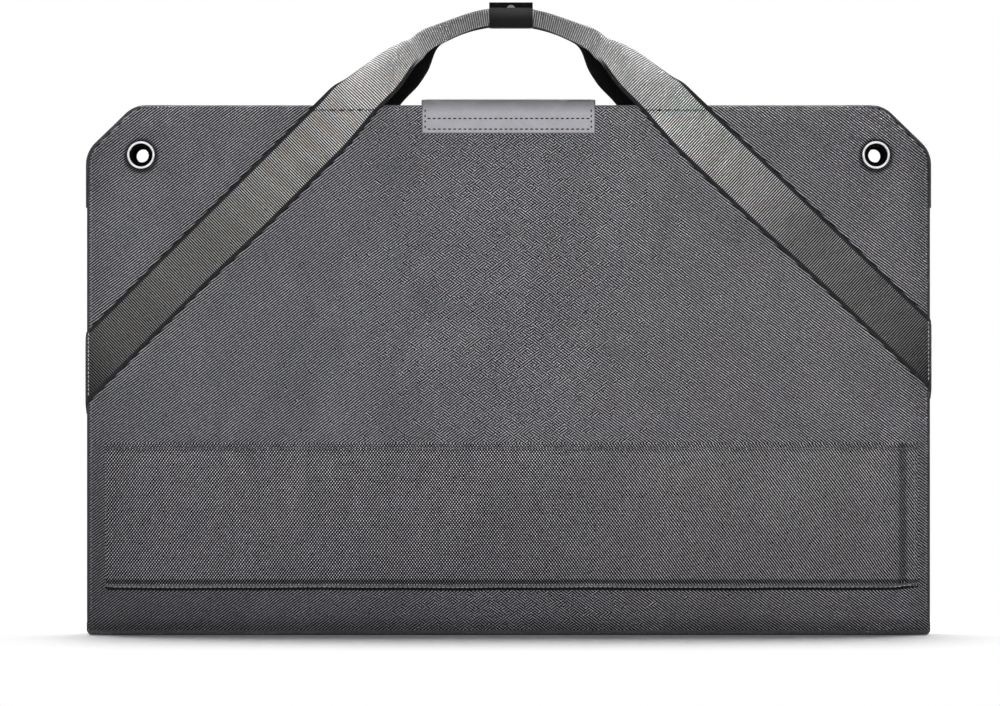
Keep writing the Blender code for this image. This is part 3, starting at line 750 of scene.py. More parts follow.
def ribbon_film():
    """Amber film with flat copper tracks that show through it."""
    n = Nodes("ribbon_film", 0.4)
    place = n.space()
    split = n.add("ShaderNodeSeparateXYZ", Vector=place)
    tracks = n.stretch(n.wave(split.outputs[0], 0.005), -0.2, 0.2)
    shades = n.mix(tracks, rgba((112, 62, 22)), rgba((176, 110, 58)))
    n.colour(n.tint(shades, n.stretch(n.noise(place, 160.0), 0.25, 0.75, 0.9, 1.1)))
    n.rough(n.noise(place, 500.0), 0.3, 0.45)
    n.bump(tracks, 0.00008, 0.5)
    return n.material


MATERIALS = {
    "case": woven(
        "case_twill", (5, 5, 7), (190, 189, 197), WEAVE, CASE_LEAN, painted_lighting=CASE_PAINTED_LIGHT_AND_SHADE, painted_ring_shadow=EYELET_PAINTED_SHADOW,
        shaded=CORNER_SHADE,
    ),
    "stand": woven(
        "stand_twill", (3, 3, 5), (222, 221, 229), WEAVE[::-1], STAND_LEAN, (0.2, 0.8), painted_lighting=STAND_PAINTED_SHADE
    ),
    "hem": woven("stand_hem", (58, 58, 61), (134, 134, 140), (0.0012, 0.0009), cut=(-0.5, 0.5)),
    # Dull dark cloth where the spine turns under the case: painted shade
    "foot": woven("foot_painted_shade", (58, 58, 61), (94, 94, 98), (0.0012, 0.0009), cut=(-0.5, 0.5)),
    "tape": woven("edge_tape", (27, 27, 29), (78, 78, 82), (0.0012, 0.0009), cut=(-0.5, 0.5)),
    "lining": woven("lining_cloth", (22, 22, 24), (64, 64, 68), (0.0012, 0.0012), cut=(-0.5, 0.5)),
    "webbing": ribbed_webbing(),
    # Near-black cloth on the back face of the webbing and the sleeve lip under the kickstand flap: painted shade
    "painted_shade_black": woven("webbing_painted_shade_back", (10, 10, 11), (34, 34, 35), (0.0012, RIB_PITCH), cut=(-0.5, 0.5)),
    "leather": grained_leather("closure_leather", (168, 168, 173), 900.0, 0.5, 0.2, CLOSURE_PAINTED_SHADE, CLOSURE_HALF),
    "lining_leather": grained_leather("tongue_lining_leather", (120, 120, 124), 1100.0, 0.6),
    "wrap": grained_leather("wrap_leather", (61, 61, 62), 1000.0, 0.42, 0.15, WRAP_PAINTED_SHADE),
    # Near-black inside face of the wrap leather: painted shade where its back shows above its front
    "wrap_painted_shade_side": grained_leather("wrap_painted_shade_side", (14, 14, 15), 1400.0, 0.7, 0.1),
    "pale_thread": thread("pale_thread", (176, 176, 181)),
    "grey_thread": thread("grey_thread", (122, 122, 126)),
    "dark_thread": thread("dark_thread", (44, 44, 47)),
    "black_thread": thread("black_thread", (9, 9, 10)),
    "nickel": polished_metal("nickel_plate", (253, 253, 254), (0.10, 0.18)),
    "steel": polished_metal("steel_strip", (150, 150, 152), (0.3, 0.5)),
    # Near-black dull funnel inside the eyelets: painted shade in the hole
    "barrel": moulded("barrel_painted_shade", (9, 9, 10), 1200.0, (0.55, 0.75), gloss=0.0),
    "board": moulded("stiff_board", (72, 72, 75), 420.0, (0.55, 0.8)),
    "plastic": moulded("black_plastic", (24, 24, 25), 1500.0, (0.4, 0.6)),
    "magnet": moulded("magnet_bar", (58, 57, 56), 900.0, (0.5, 0.75)),
    "cell": solar_cell(),
    "film": back_film(),
    "tab": polished_metal("cell_tab", (188, 190, 194), (0.25, 0.4)),
    "ribbon": ribbon_film(),
}


def put(shape, name, finishes, body=None, turn=1, replaces=(), slot=None, smooth=40):
    """Make a piece, hide the nodes it stands for, and set it on its body."""
    piece = shape.make(name, [MATERIALS[finish] for finish in finishes], turn, smooth)
    if body is not None:
        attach(piece, body)
    if replaces:
        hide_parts(*replaces)
    return piece


# Leaves


class Leaf:
    """One half of the case. straps gives (top x, side z) of its left and right straps.

    fold_stops are (distance from the middle, share folded) of the loop's webbing, from the grip out. edge_steps
    lists (distance below the centre line, from, to) of the loop's inner edge, adding up from the grip.
    """

    def __init__(self, prefix, turn, straps, loop_top, grip_out, fold_stops, edge_steps):
        self.prefix = prefix
        self.turn = turn
        self.straps = straps
        self.loop_top = loop_top
        self.grip_out = grip_out
        self.fold_stops = fold_stops
        self.edge_steps = edge_steps
        self.body = f"{prefix}_leaf"
        self.handle = f"{prefix}_handle"
        self.stand = f"{prefix}_kickstand"

    def inner_edge(self, reach):
        drop = WEB_WIDTH / 2 - sum(step[0] for step in self.edge_steps)
        return drop + sum(step * smooth_share(reach, start, end) for step, start, end in self.edge_steps)

    def fold(self, reach):
        places, shares = zip(*self.fold_stops)
        return smoothed(np.interp(reach, places, shares))

    def named(self, word):
        return f"{self.prefix}_{word}"

    def put(self, shape, word, finishes, body=None, **options):
        return put(shape, self.named(word), finishes, body, self.turn, **options)

    def at(self, out, z):
        """A point of the frame at that out and height."""
        return (0.0, -self.turn * out, z)


LEAVES = (
    Leaf(
        "front",
        1,
        straps=((0.1286, 0.2168), (0.1310, 0.2276)),
        loop_top=0.493,
        grip_out=0.006,
        fold_stops=((0.0735, 1.0), (0.079, 0.54), (0.0846, 0.44), (0.100, 0.30), (0.119, 0.19), (0.129, 0.0)),
        edge_steps=((0.0035, 0.016, 0.060), (0.01205, 0.062, 0.106)),
    ),
    Leaf(
        "rear",
        -1,
        straps=((0.1154, 0.2040), (0.1154, 0.2040)),
        loop_top=0.4915,
        grip_out=0.005,
        fold_stops=((0.058, 1.0), (0.088, 0.40), (0.116, 0.0)),
        edge_steps=((0.0140, 0.054, 0.089), (0.00325, 0.095, 0.1154)),
    ),
)


def cover_profile(edge):
    """(inset, out, flat inset) round a cover's edge of that roundness, from the face to inside its wall."""
    groove = EDGE_STITCH_INSET
    face = LEAF_OUTER
    rows = [(FACE_INSET, face, FACE_INSET), (groove + 0.0009, face, groove + 0.0009)]
    for step, depth in ((0.0005, 0.4), (0.0, 1.0), (-0.0005, 0.4)):
        rows.append((groove + step, face - STITCH_GROOVE * depth, groove + step))
    for angle in np.linspace(0, math.pi / 2, 8):
        inset = edge * (1 - math.sin(angle))
        out = face - edge * (1 - math.cos(angle))
        rows.append((inset, out, edge * (1 - angle)))
    for out in (0.0100, 0.0066, LEAF_INNER + 0.0004):
        rows.append((0.0, out, rows[-1][2] - (rows[-1][1] - out)))
    for inset, out in ((0.0003, LEAF_INNER), (COVER_WALL - 0.0003, LEAF_INNER)):
        rows.append((inset, out, rows[-1][2] - 0.0005))
    rows.append((COVER_WALL, LEAF_INNER + 0.0003, rows[-1][2] - 0.0005))
    rows.append((COVER_WALL, LEAF_OUTER - COVER_WALL, rows[-1][2] - 0.0114))
    return rows


def slack(x, z):
    """How far the cover cloth stands off or sinks from a flat face."""
    waves = np.sin(21 * x + 9 * z + 0.4) + np.sin(-13 * x + 31 * z + 1.7) + 0.7 * np.sin(47 * x - 23 * z)
    calm = smooth_share(depth_inside(x, z), 0.008, 0.06)
    radius = np.hypot(np.abs(x) - EYELET_X, z - EYELET_Z)
    dimple = EYELET_DIMPLE * np.exp(-(((radius - EYELET_FLANGE) / 0.0022) ** 2))
    return SLACK * waves * calm * smooth_share(radius, 0.012, 0.05) - dimple


def face_points():
    """An even spread of points inside a leaf's face, clear of its edge and eyelets."""
    rows = even(LEAF_LOW, LEAF_TOP, FACE_SPACING)
    columns = even(-CASE_HALF, CASE_HALF, FACE_SPACING)
    x, z = np.meshgrid(columns, rows)
    x = x + (np.arange(len(rows)) % 2)[:, None] * FACE_SPACING / 2
    x, z = x.ravel(), z.ravel()
    keep = depth_inside(x, z) > FACE_INSET + 0.5 * FACE_SPACING
    keep &= np.hypot(np.abs(x) - EYELET_X, z - EYELET_Z) > EYELET_FLANGE + FACE_SPACING
    return np.column_stack([x[keep], z[keep]])


def eyelet_points():
    """Rings of points round both eyelets, to shape the cloth there."""
    radii = np.linspace(EYELET_FLANGE - 0.002, EYELET_FLANGE + 0.006, 7)
    return np.concatenate([circle(side * EYELET_X, EYELET_Z, radius, 40) for side in (-1, 1) for radius in radii])


def cover(leaf):
    """Outer cloth of a leaf, turned over the edge into a wall, with its edge stitching."""
    shape = Shape()
    normals = leaf_outline(0)[1]
    rings, flats, insets = [], [], []
    foot = smooth_share(-normals[:, 1], 0.3, 0.95)
    for (inset, out, flat_inset), square in zip(cover_profile(EDGE_ROUND), cover_profile(FOOT_ROUND)):
        loop = leaf_outline(inset)[0]
        loop = loop + (leaf_outline(square[0])[0] - loop) * foot[:, None]
        rings.append(at_out(loop, out + (square[1] - out) * foot))
        spare = (inset - flat_inset) + (square[0] - square[2] - inset + flat_inset) * foot
        flats.append(loop + normals * spare[:, None])
        insets.append(inset)
    points = np.stack(rings)
    taped = (np.array(insets[:-1]) < EDGE_BAND)[:, None] & (normals[:, 1] < 0.97)[None, :]
    shape.grid(np.concatenate([points, points[:, :1]], axis=1), flat_rings(flats), taped.astype(int))
    holes = [circle(side * EYELET_X, EYELET_Z, EYELET_HOLE) for side in (-1, 1)]
    face_loop = leaf_outline(FACE_INSET)[0]
    inside = np.concatenate([face_points(), eyelet_points()])
    shape.fill([face_loop] + holes, lambda x, z: LEAF_OUTER + slack(x, z), inside)
    floor_out = LEAF_OUTER - COVER_WALL
    shape.fill([leaf_outline(COVER_WALL)[0]] + holes, lambda x, z: np.full(len(x), floor_out), (), 1)
    for hole in holes:
        tube = np.stack([at_out(hole, LEAF_OUTER), at_out(hole, floor_out)])
        shape.grid(np.concatenate([tube, tube[:, :1]], axis=1), flat_rings([hole, hole]), 1)
    nodes = [leaf.named("cover")]
    piece = leaf.put(shape, "cover_cloth", ("case", "tape"), leaf.body, replaces=nodes, slot="case_fabric")
    reach = -cover_profile(EDGE_ROUND)[-2][2]
    area = loop_area(leaf_outline(-reach)[0])
    leaf.named("stiffener")
    stitches = Shape()
    loop = leaf_outline(EDGE_STITCH_INSET)[0]
    path = at_out(loop[loop[:, 1] > LEAF_LOW + 0.005], LEAF_OUTER - 0.5 * STITCH_GROOVE)
    stitch_row(stitches, path, (0, 1, 0), 0.0042, 0.0028, 0.00032)
    leaf.put(stitches, "cover_stitches", ("grey_thread",), leaf.body)


def corner_tape(leaf, side):
    """Tape laid over the edge round a cut top corner, thinning out along the top."""
    sign = {"left": -1, "right": 1}[side]
    base, normals = leaf_outline(0)
    low, end = 0.342, 0.270
    wanted = (base[:, 0] > end) & (base[:, 1] > low)
    path = np.concatenate([[(CASE_HALF, low)], base[wanted], [(end, LEAF_TOP)]])
    facing = np.concatenate([[(1, 0)], normals[wanted], [(0, 1)]])
    along = np.concatenate([[0], np.cumsum(np.linalg.norm(np.diff(path, axis=0), axis=1))])
    thin = 1 - 0.85 * smooth_share(along / along[-1], 0.25, 0.75)
    angles = np.radians(np.concatenate([[0], np.linspace(0, TAPE_REACH, 7)]))
    drops = np.where(np.arange(len(angles)) == 0, LEAF_OUTER - EDGE_ROUND - LEAF_INNER - 0.0003, 0)
    insets, outs = [], []
    for lift, order in ((0.0002, 1), (0.0009, -1)):
        radius = EDGE_ROUND + lift * thin[:, None]
        insets.append((EDGE_ROUND - radius * np.cos(angles))[:, ::order])
        outs.append((LEAF_OUTER - EDGE_ROUND + radius * np.sin(angles) - drops)[:, ::order])
    inset = np.concatenate(insets, axis=1)
    out = np.concatenate(outs, axis=1)
    across = sign * (path[:, :1] - facing[:, :1] * inset)
    sections = np.stack([across, out, path[:, 1:] - facing[:, 1:] * inset], axis=-1)
    round_edge = np.linalg.norm(np.diff(sections[0], axis=0), axis=1)
    run = np.concatenate([[0], np.cumsum(round_edge), [np.sum(round_edge)]])
    flat = np.stack(np.broadcast_arrays(along[:, None], run[None, :]), axis=-1)
    on_top = (facing[:-1, 1] > 0.97)[:, None]
    shape = Shape()
    shape.loft(sections, flat, np.broadcast_to(on_top, (len(path) - 1, flat.shape[1] - 1)).astype(int))
    nodes = [leaf.named(f"binding_{side}")]
    finishes = ("tape", "case")
    piece = leaf.put(shape, f"corner_tape_{side}", finishes, leaf.body, replaces=nodes, slot="binding_tape")
    leaf.named("cover_cloth")


def eyelet(leaf, side):
    """Bright ring of an eyelet, its funnel near-black as painted shade in the hole, and the washer behind the leaf."""
    sign = {"left": -1, "right": 1}[side]
    seat = LEAF_OUTER + 0.0002
    crown = LEAF_OUTER + 0.0019
    inner, outer = 0.0090, EYELET_FLANGE
    middle = (inner + outer) / 2
    roll = (outer - inner) / 2
    profile = [(EYELET_BORE, 0.0026), (0.0063, 0.0026), (0.0065, 0.0030), (0.0065, seat), (outer - 0.0006, seat)]
    ring_start = len(profile) - 1
    for angle in np.linspace(0, math.pi, 13):
        profile.append((middle + roll * math.cos(angle), crown - roll * (1 - math.sin(angle))))
    profile.append((inner - 0.0001, crown - roll - 0.0003))
    ring_end = len(profile) - 1
    for share in np.linspace(0, 1, 9)[1:]:
        radius = EYELET_BORE + (inner - 0.0001 - EYELET_BORE) * (1 - share) ** 0.7
        profile.append((radius, crown - roll - 0.0003 - 0.0081 * share**1.3))
    finishes = np.array([0 if ring_start <= n < ring_end else 1 for n in range(len(profile))])
    shape = Shape()
    turned(shape, profile, sign * EYELET_X, EYELET_Z, finishes)
    node = leaf.named(f"eyelet_{side}")
    leaf.put(shape, f"eyelet_ring_{side}", ("nickel", "barrel"), leaf.body, replaces=[node], slot="nickel")
    washer = Shape()
    profile = [(EYELET_HOLE, 0.0023), (0.0070, 0.0021), (0.0100, 0.0021), (0.0105, 0.0024)]
    profile += [(0.0104, 0.0028), (0.0101, 0.0029), (0.0070, 0.0029), (EYELET_HOLE, 0.0028)]
    turned(washer, profile, sign * EYELET_X, EYELET_Z)
    node = leaf.named(f"washer_{side}")
    leaf.put(washer, f"washer_ring_{side}", ("nickel",), leaf.body, replaces=[node], slot="nickel")


def webbing_line(leaf):
    """Centre line of the webbing, from its left end over the loop to its right end, evenly spaced."""
    pieces = []
    for sign, (top_x, side_z) in zip((-1, 1), leaf.straps):
        foot = np.array([top_x, SEAM_HEIGHT])
        end = np.array([STRAP_SIDE_X, side_z])
        end = end + unit(end - foot) * 0.05
        radius = (LOOP_START + top_x - leaf.loop_top) / (math.sqrt(2) - 1)
        lean = np.linspace(math.pi / 4, 0, 200)
        arc = np.column_stack([radius * np.sin(lean), leaf.loop_top - radius * (1 - np.cos(lean))])
        half = np.concatenate([np.linspace(end, foot, 400), np.linspace(foot, arc[0], 60)[1:], arc[1:]])
        half[:, 0] *= sign
        pieces.append(half)
    line = np.concatenate([pieces[0], pieces[1][-2::-1]])
    run = np.concatenate([[0], np.cumsum(np.linalg.norm(np.diff(line, axis=0), axis=1))])
    step = RIB_PITCH / ROWS_PER_RIB
    middle = np.interp(0.0, line[:, 0], run)
    low = -int(middle / step)
    high = int((run[-1] - middle) / step)
    along = np.arange(low, high + 1) * step
    xz = np.column_stack([np.interp(along + middle, run, line[:, n]) for n in range(2)])
    xz = np.column_stack([smoothed(xz[:, n]) for n in range(2)])
    rise = smooth_share(xz[:, 1], LOOP_START, leaf.loop_top)
    out = np.where(xz[:, 1] < LOOP_START, STRAP_OUT, LOOP_FOOT_OUT + (leaf.grip_out - LOOP_FOOT_OUT) * rise)
    return np.column_stack([xz[:, 0], out, xz[:, 1]]), along


def webbing_sections(leaf, wrapped):
    """Closed sections of the webbing: flat where it is sewn, folded in half over the grip."""
    line, along = webbing_line(leaf)
    ahead = unit(np.gradient(line, axis=0))
    facing = unit(np.array([0.0, 1.0, 0.0]) - ahead[:, 1:2] * ahead)
    across = np.cross(ahead, facing)
    on_loop = line[:, 2] > LOOP_START
    reach = np.where(on_loop, np.abs(line[:, 0]), 1.0)
    fold = leaf.fold(reach)
    width = WEB_WIDTH - 0.0105 * (1 - smooth_share(reach, 0.030, 0.100))
    sewn = smooth_share(line[:, 2], SEAM_HEIGHT + 0.013, SEAM_HEIGHT - 0.021)
    low_spread, top_spread = STRAP_SPREAD
    spread = sewn * (low_spread + (top_spread - low_spread) * smooth_share(line[:, 2], 0.29, 0.35))
    width = width + spread
    if wrapped:
        width = width - 0.0085 * (1 - smooth_share(np.abs(line[:, 0] - WRAP_CENTRE), 0.008, 0.016)) * on_loop
    lean = 0.35 * np.exp(-(((reach - 0.070) / 0.008) ** 2))
    share = np.linspace(-1, 1, 29)
    share = 0.65 * share + 0.35 * share**3
    spot = share[None, :] * width[:, None] / 2
    bend_length = (0.020 - (0.020 - math.pi * FOLD_RADIUS) * fold)[:, None]
    heading = math.pi * fold[:, None] * np.clip(spot / bend_length + 0.5, 0, 1)
    middle_heading = (heading[:, 1:] + heading[:, :-1]) / 2
    steps = np.diff(spot, axis=1)
    start = np.zeros((len(line), 1))
    up = np.concatenate([start, np.cumsum(np.cos(middle_heading) * steps, axis=1)], axis=1)
    front = np.concatenate([start, np.cumsum(-np.sin(middle_heading) * steps, axis=1)], axis=1)
    up -= up.min(axis=1, keepdims=True) + (leaf.inner_edge(reach) + spread)[:, None]
    front -= (front.max(axis=1, keepdims=True) + front.min(axis=1, keepdims=True)) / 2
    normal_up, normal_front = np.sin(heading), np.cos(heading)
    turn_cos, turn_sin = np.cos(lean)[:, None], np.sin(lean)[:, None]
    up, front = up * turn_cos - front * turn_sin, up * turn_sin + front * turn_cos
    normal_up, normal_front = (
        normal_up * turn_cos - normal_front * turn_sin,
        normal_up * turn_sin + normal_front * turn_cos,
    )
    body = 1 - smooth_share(np.abs(share) * WEB_WIDTH / 2, WEB_WIDTH / 2 - SELVAGE, WEB_WIDTH / 2 - SELVAGE + 0.0008)
    rim = 1 - 0.35 * smooth_share(np.abs(share), 0.94, 1.0)
    ribs = RIB_HEIGHT * np.cos(2 * math.pi * along / RIB_PITCH)[:, None] * (0.2 + 0.8 * body)
    half = WEB_THICKNESS / 2 * rim

    def surface(lift):
        rises = up + normal_up * lift
        fronts = front + normal_front * lift
        return line[:, None] + across[:, None] * rises[..., None] + facing[:, None] * fronts[..., None]

    outer = surface(half + ribs)
    outer[..., 1] -= SEAM_DENT * np.exp(-(((outer[..., 2] - SEAM_STITCH_HEIGHT) / 0.0016) ** 2))
    inner = surface(np.broadcast_to(-half, up.shape))[:, ::-1]
    tip = np.stack([np.cos(heading), -np.sin(heading)], axis=-1)
    tip = np.stack(
        [
            tip[..., 0] * turn_cos - tip[..., 1] * turn_sin,
            tip[..., 0] * turn_sin + tip[..., 1] * turn_cos,
        ],
        axis=-1,
    )
    edges = []
    for column, sign in ((-1, 1), (0, -1)):
        rises = up[:, column] + sign * 0.0004 * tip[:, column, 0]
        fronts = front[:, column] + sign * 0.0004 * tip[:, column, 1]
        edges.append((line + across * rises[:, None] + facing * fronts[:, None])[:, None])
    sections = np.concatenate([outer, edges[0], inner, edges[1]], axis=1)
    u = share * WEB_WIDTH / 2
    u = np.concatenate([u, u[-1:], u[::-1], u[:1], u[:1]])
    flat = np.stack(np.broadcast_arrays(u[None, :], along[:, None]), axis=-1)
    # The back face and edges of the webbing take the near-black cloth, painted shade on the inside of the loop
    finish = np.array([0] * (len(share) - 1) + [1] * (sections.shape[1] - len(share) + 1))
    return sections, flat, finish


def trim(piece):
    """Cut a webbing's ends upright before they are turned round the sides of the case, and close them."""
    bm = bmesh.new()
    bm.from_mesh(piece.data)
    for side in (-1, 1):
        everything = bm.verts[:] + bm.edges[:] + bm.faces[:]
        bmesh.ops.bisect_plane(
            bm,
            geom=everything,
            dist=1e-7,
            plane_co=(side * STRAP_CUT_X, 0, 0),
            plane_no=(side, 0, 0),
            clear_outer=True,
        )
        open_edges = [edge for edge in bm.edges if edge.is_boundary]
        bmesh.ops.holes_fill(bm, edges=open_edges, sides=0)
    bmesh.ops.recalc_face_normals(bm, faces=bm.faces)
    bm.to_mesh(piece.data)
    bm.free()


def round_side(points):
    """Leaf points of a strap lying flat, turned round the side edge of the case where they pass it."""
    middle = STRAP_OUT - STRAP_BEND
    past = np.abs(points[..., 0]) - STRAP_BEND_X
    angle = np.clip(past / STRAP_BEND, 0, math.pi / 2)
    down = np.clip(past - STRAP_BEND * math.pi / 2, 0, None)
    radius = points[..., 1] - middle
    x = np.where(past > 0, STRAP_BEND_X + radius * np.sin(angle), np.abs(points[..., 0]))
    out = np.where(past > 0, middle + radius * np.cos(angle) - down, points[..., 1])
    return np.stack([np.sign(points[..., 0]) * x, out, points[..., 2]], axis=-1)


def webbing(leaf):
    """One length of webbing: sewn strap, carrying loop, sewn strap."""
    sections, flat, finish = webbing_sections(leaf, leaf.prefix == "front")
    shape = Shape()
    shape.loft(sections, flat, finish)
    nodes = [leaf.named(word) for word in ("strap_left", "strap_right", "handle_loop")]
    piece = leaf.put(shape, "webbing", ("webbing", "painted_shade_black"), replaces=nodes, slot="grey_webbing", smooth=70)
    trim(piece)
    places = np.empty(len(piece.data.vertices) * 3, np.float32)
    piece.data.vertices.foreach_get("co", places)
    turn = np.array((leaf.turn, -leaf.turn, 1))
    places = round_side(places.reshape(-1, 3) * turn) * turn
    piece.data.vertices.foreach_set("co", places.astype(np.float32).ravel())
    piece.data.update()
    leaf.at(0.0172, 0.4208)
    leaf.at(0.0204, 0.4230)
    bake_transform(piece)
    line, along = webbing_line(leaf)
    leaf.named("cover_cloth")
    face = sections[:, finish == 0].reshape(-1, 3)
    seams = Shape()
    ends = Shape()
    for sign, (top_x, side_z) in zip((-1, 1), leaf.straps):
        slope = math.atan2(SEAM_HEIGHT - side_z, STRAP_SIDE_X - top_x)
        centre = top_x + (SEAM_HEIGHT - SEAM_STITCH_HEIGHT) / math.tan(slope)
        half = (WEB_WIDTH / 2 - 0.001) / math.sin(slope)
        xs = even(centre - half, centre + half, SEAM_STEP)
        zigzag = SEAM_STITCH_HEIGHT + SEAM_ZIGZAG * (-1.0) ** np.arange(len(xs))
        apart = np.hypot(face[:, :1] - sign * xs, face[:, 2:] - zigzag)
        path = np.column_stack([sign * xs, face[apart.argmin(axis=0), 1] + 0.0001, zigzag])
        leg = 0.9999 * math.hypot(xs[1] - xs[0], 2 * SEAM_ZIGZAG)
        stitch_row(seams, path, (0, 1, 0), leg, 0.9 * leg, 0.00042)
        half = (WEB_WIDTH / 2 - 0.0015) / math.cos(slope)
        zs = even(side_z - half, side_z + half, 0.002)
        angle = 0.45
        radius = STRAP_BEND + WEB_THICKNESS / 2
        x = sign * (STRAP_BEND_X + radius * math.sin(angle))
        out = STRAP_OUT - STRAP_BEND + radius * math.cos(angle)
        path = np.column_stack([np.full(len(zs), x), np.full(len(zs), out), zs])
        stitch_row(ends, path, (sign * math.sin(angle), math.cos(angle), 0), 0.0034, 0.0024, 0.00045)
    leaf.put(seams, "webbing_seam_stitches", ("black_thread",), leaf.body)
    leaf.put(ends, "webbing_end_stitches", ("pale_thread",), leaf.body)


def stand_profile():
    """Outer (out, z) outline of the kickstand sleeve, with the flange that is sewn to the cover."""
    hem = STAND_LOW + STAND_HEM
    lip = STAND_LIP
    rows = [(0.01640, STAND_LOW - STAND_BACK_DROP + 0.0004), (0.0167, STAND_LOW - STAND_BACK_DROP)]
    rows += [(0.0174, STAND_LOW - STAND_BACK_DROP), (0.0176, STAND_LOW - STAND_BACK_DROP + 0.0004)]
    rows += [(0.0177, STAND_LOW - 0.0001), (lip - 0.001, STAND_LOW)]
    rows += [(lip - 0.0003, STAND_LOW + 0.0002), (lip, STAND_LOW + 0.0006), (lip, hem - 0.0005)]
    rows += [(lip - 0.0003, hem - 0.0002), (0.0203, hem + 0.0002), (0.0199, hem + 0.0010), (0.0198, hem + 0.0020)]
    rows += [(0.0200, hem + 0.0030), (0.0203, hem + 0.0040)]
    rows += [(0.0204, z) for z in even(hem + 0.005, 0.1452, 0.006)]
    rows += [(0.0203, 0.1468), (0.0200, 0.1479), (0.0194, 0.1488), (0.0185, 0.1494), (0.0176, 0.1498)]
    rows += [(0.01712, 0.1504), (0.0170, 0.1512), (0.0170, 0.1530), (0.0167, 0.1534), (0.01635, 0.1530)]
    rows += [(0.01635, 0.1504)]
    rows += [(0.0164, z) for z in even(0.1484, STAND_LOW + 0.0016, 0.012)]
    return np.array(rows)


def kickstand(leaf):
    """Flat cloth sleeve with a board in it, sewn to the cover along its top and open at its right end."""
    outline = stand_profile()
    plain = even(STAND_LEFT + 0.002, STAND_SEAM - 0.006, 0.006)
    xs = np.concatenate([plain, even(STAND_SEAM - 0.005, STAND_RIGHT - 0.001, 0.001), [STAND_RIGHT]])
    z = outline[:, 1]
    middle = np.array([0.0184, 0.094])
    front = (outline[:, 0] > 0.0195)[None, :]
    wave = np.sin(19 * xs)[:, None] * np.sin(50 * z)[None, :] + np.sin(43 * xs + 1)[:, None] * np.cos(70 * z)[None, :]
    dent = 0.0005 * np.exp(-(((xs - STAND_SEAM) / 0.0025) ** 2))[:, None] * front
    lift = 0.00014 * wave * front - dent
    foot = smooth_share(z, STAND_LOW + 0.006, STAND_LOW)[None, :]
    rise = 0.0026 * smooth_share(xs, STAND_SEAM - 0.010, STAND_RIGHT)
    sag = foot * (0.00016 * np.sin(31 * xs) + 0.00010 * np.sin(83 * xs + 2) + rise)[:, None]
    out = outline[:, 0][None, :] + lift
    height = z[None, :] + sag
    sections = np.stack([np.broadcast_to(xs[:, None], out.shape), out, height], axis=-1)
    first = sections[:1].copy()
    first[..., 0] = STAND_LEFT
    first[..., 1] = middle[0] + (first[..., 1] - middle[0]) * 0.75
    first[..., 2] = np.where(first[..., 2] < 0.1, first[..., 2] + 0.0008, first[..., 2])
    sections = np.concatenate([first, sections])
    run = np.concatenate([[0], np.cumsum(np.linalg.norm(np.diff(outline, axis=0), axis=1))])
    on_face = np.flatnonzero(front[0] & (z > 0.09))[0]
    run += z[on_face] - run[on_face]
    run = np.concatenate([run, run[-1:] + 0.001])
    flat = np.stack(np.broadcast_arrays(sections[:, :1, 0], run[None, :]), axis=-1)
    shape = Shape()
    # The sleeve's back below the hem takes the near-black cloth, a painted shadow under the flap
    under = (outline[:, 0] < 0.0178) & (z < 0.1)
    finish = np.where(under, 2, np.where(z < STAND_LOW + STAND_HEM, 1, 0))
    shape.loft(sections, flat, finish, caps=(True, False))
    slot_loop, _ = rounded_loop(rectangle(0.01735, 0.01945, 0.03935, 0.14865, 0.0004), 3, [2, 18, 2, 18])
    mouth = np.column_stack([np.full(len(slot_loop), STAND_RIGHT), slot_loop])
    deep = mouth - (STAND_RIGHT - STAND_LEFT - 0.0012, 0, 0)
    lining = np.stack([mouth, deep])
    lining_flat = np.stack(np.broadcast_arrays(
        lining[:, :1, 0], np.linspace(0, 0.22, len(slot_loop) + 1)[None, :]), axis=-1)
    shape.loft(lining, lining_flat, caps=(False, True))
    rim = [np.column_stack([sections[-1, :, 1], sections[-1, :, 2]]), slot_loop]
    ring = Shape()
    ring.fill(rim, lambda a, b: np.full(len(a), STAND_RIGHT))
    shape.add(ring.points[0][:, [1, 0, 2]], ring.faces[0], ring.flats[0])
    nodes = [leaf.named("kickstand_sleeve")]
    finishes = ("stand", "hem", "painted_shade_black")
    piece = leaf.put(shape, "stand_sleeve", finishes, replaces=nodes, slot="case_fabric")
    leaf.at(0.0165, 0.1520)
    leaf.at(0.0165, 0.1494)
    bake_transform(piece)
    leaf.named("kickstand_board")
    sewn = Shape()
    xs = even(STAND_LEFT + 0.002, STAND_RIGHT - 0.002, 0.004)
    stitch_row(sewn, at_rows(xs, 0.0189, 0.1493), (0, 0.8, 0.6), 0.0044, 0.0029, 0.00045)
    hem = Shape()
    xs = even(STAND_LEFT + 0.004, STAND_RIGHT - 0.004, 0.004)
    lifted = STAND_LOW + 0.0011 + np.interp(xs, sections[:, 0, 0], sections[:, 5, 2] - sections[0, 5, 2])
    path = np.column_stack([xs, np.full(len(xs), STAND_LIP), lifted])
    stitch_row(hem, path, (0, 1, 0), 0.0038, 0.0026, 0.00036)
    zs = even(STAND_LOW + 0.007, 0.1455, 0.004)
    path = np.column_stack([np.full(len(zs), STAND_RIGHT - 0.0034), np.full(len(zs), 0.02045), zs])
    stitch_row(sewn, path, (0, 1, 0), 0.0040, 0.0028, 0.00034)
    leaf.put(sewn, "stand_hinge_stitches", ("grey_thread",), leaf.stand)
    leaf.put(hem, "stand_hem_stitches", ("pale_thread",), leaf.stand)


def at_rows(xs, out, z):
    return np.column_stack([xs, np.full(len(xs), out), np.full(len(xs), z)])


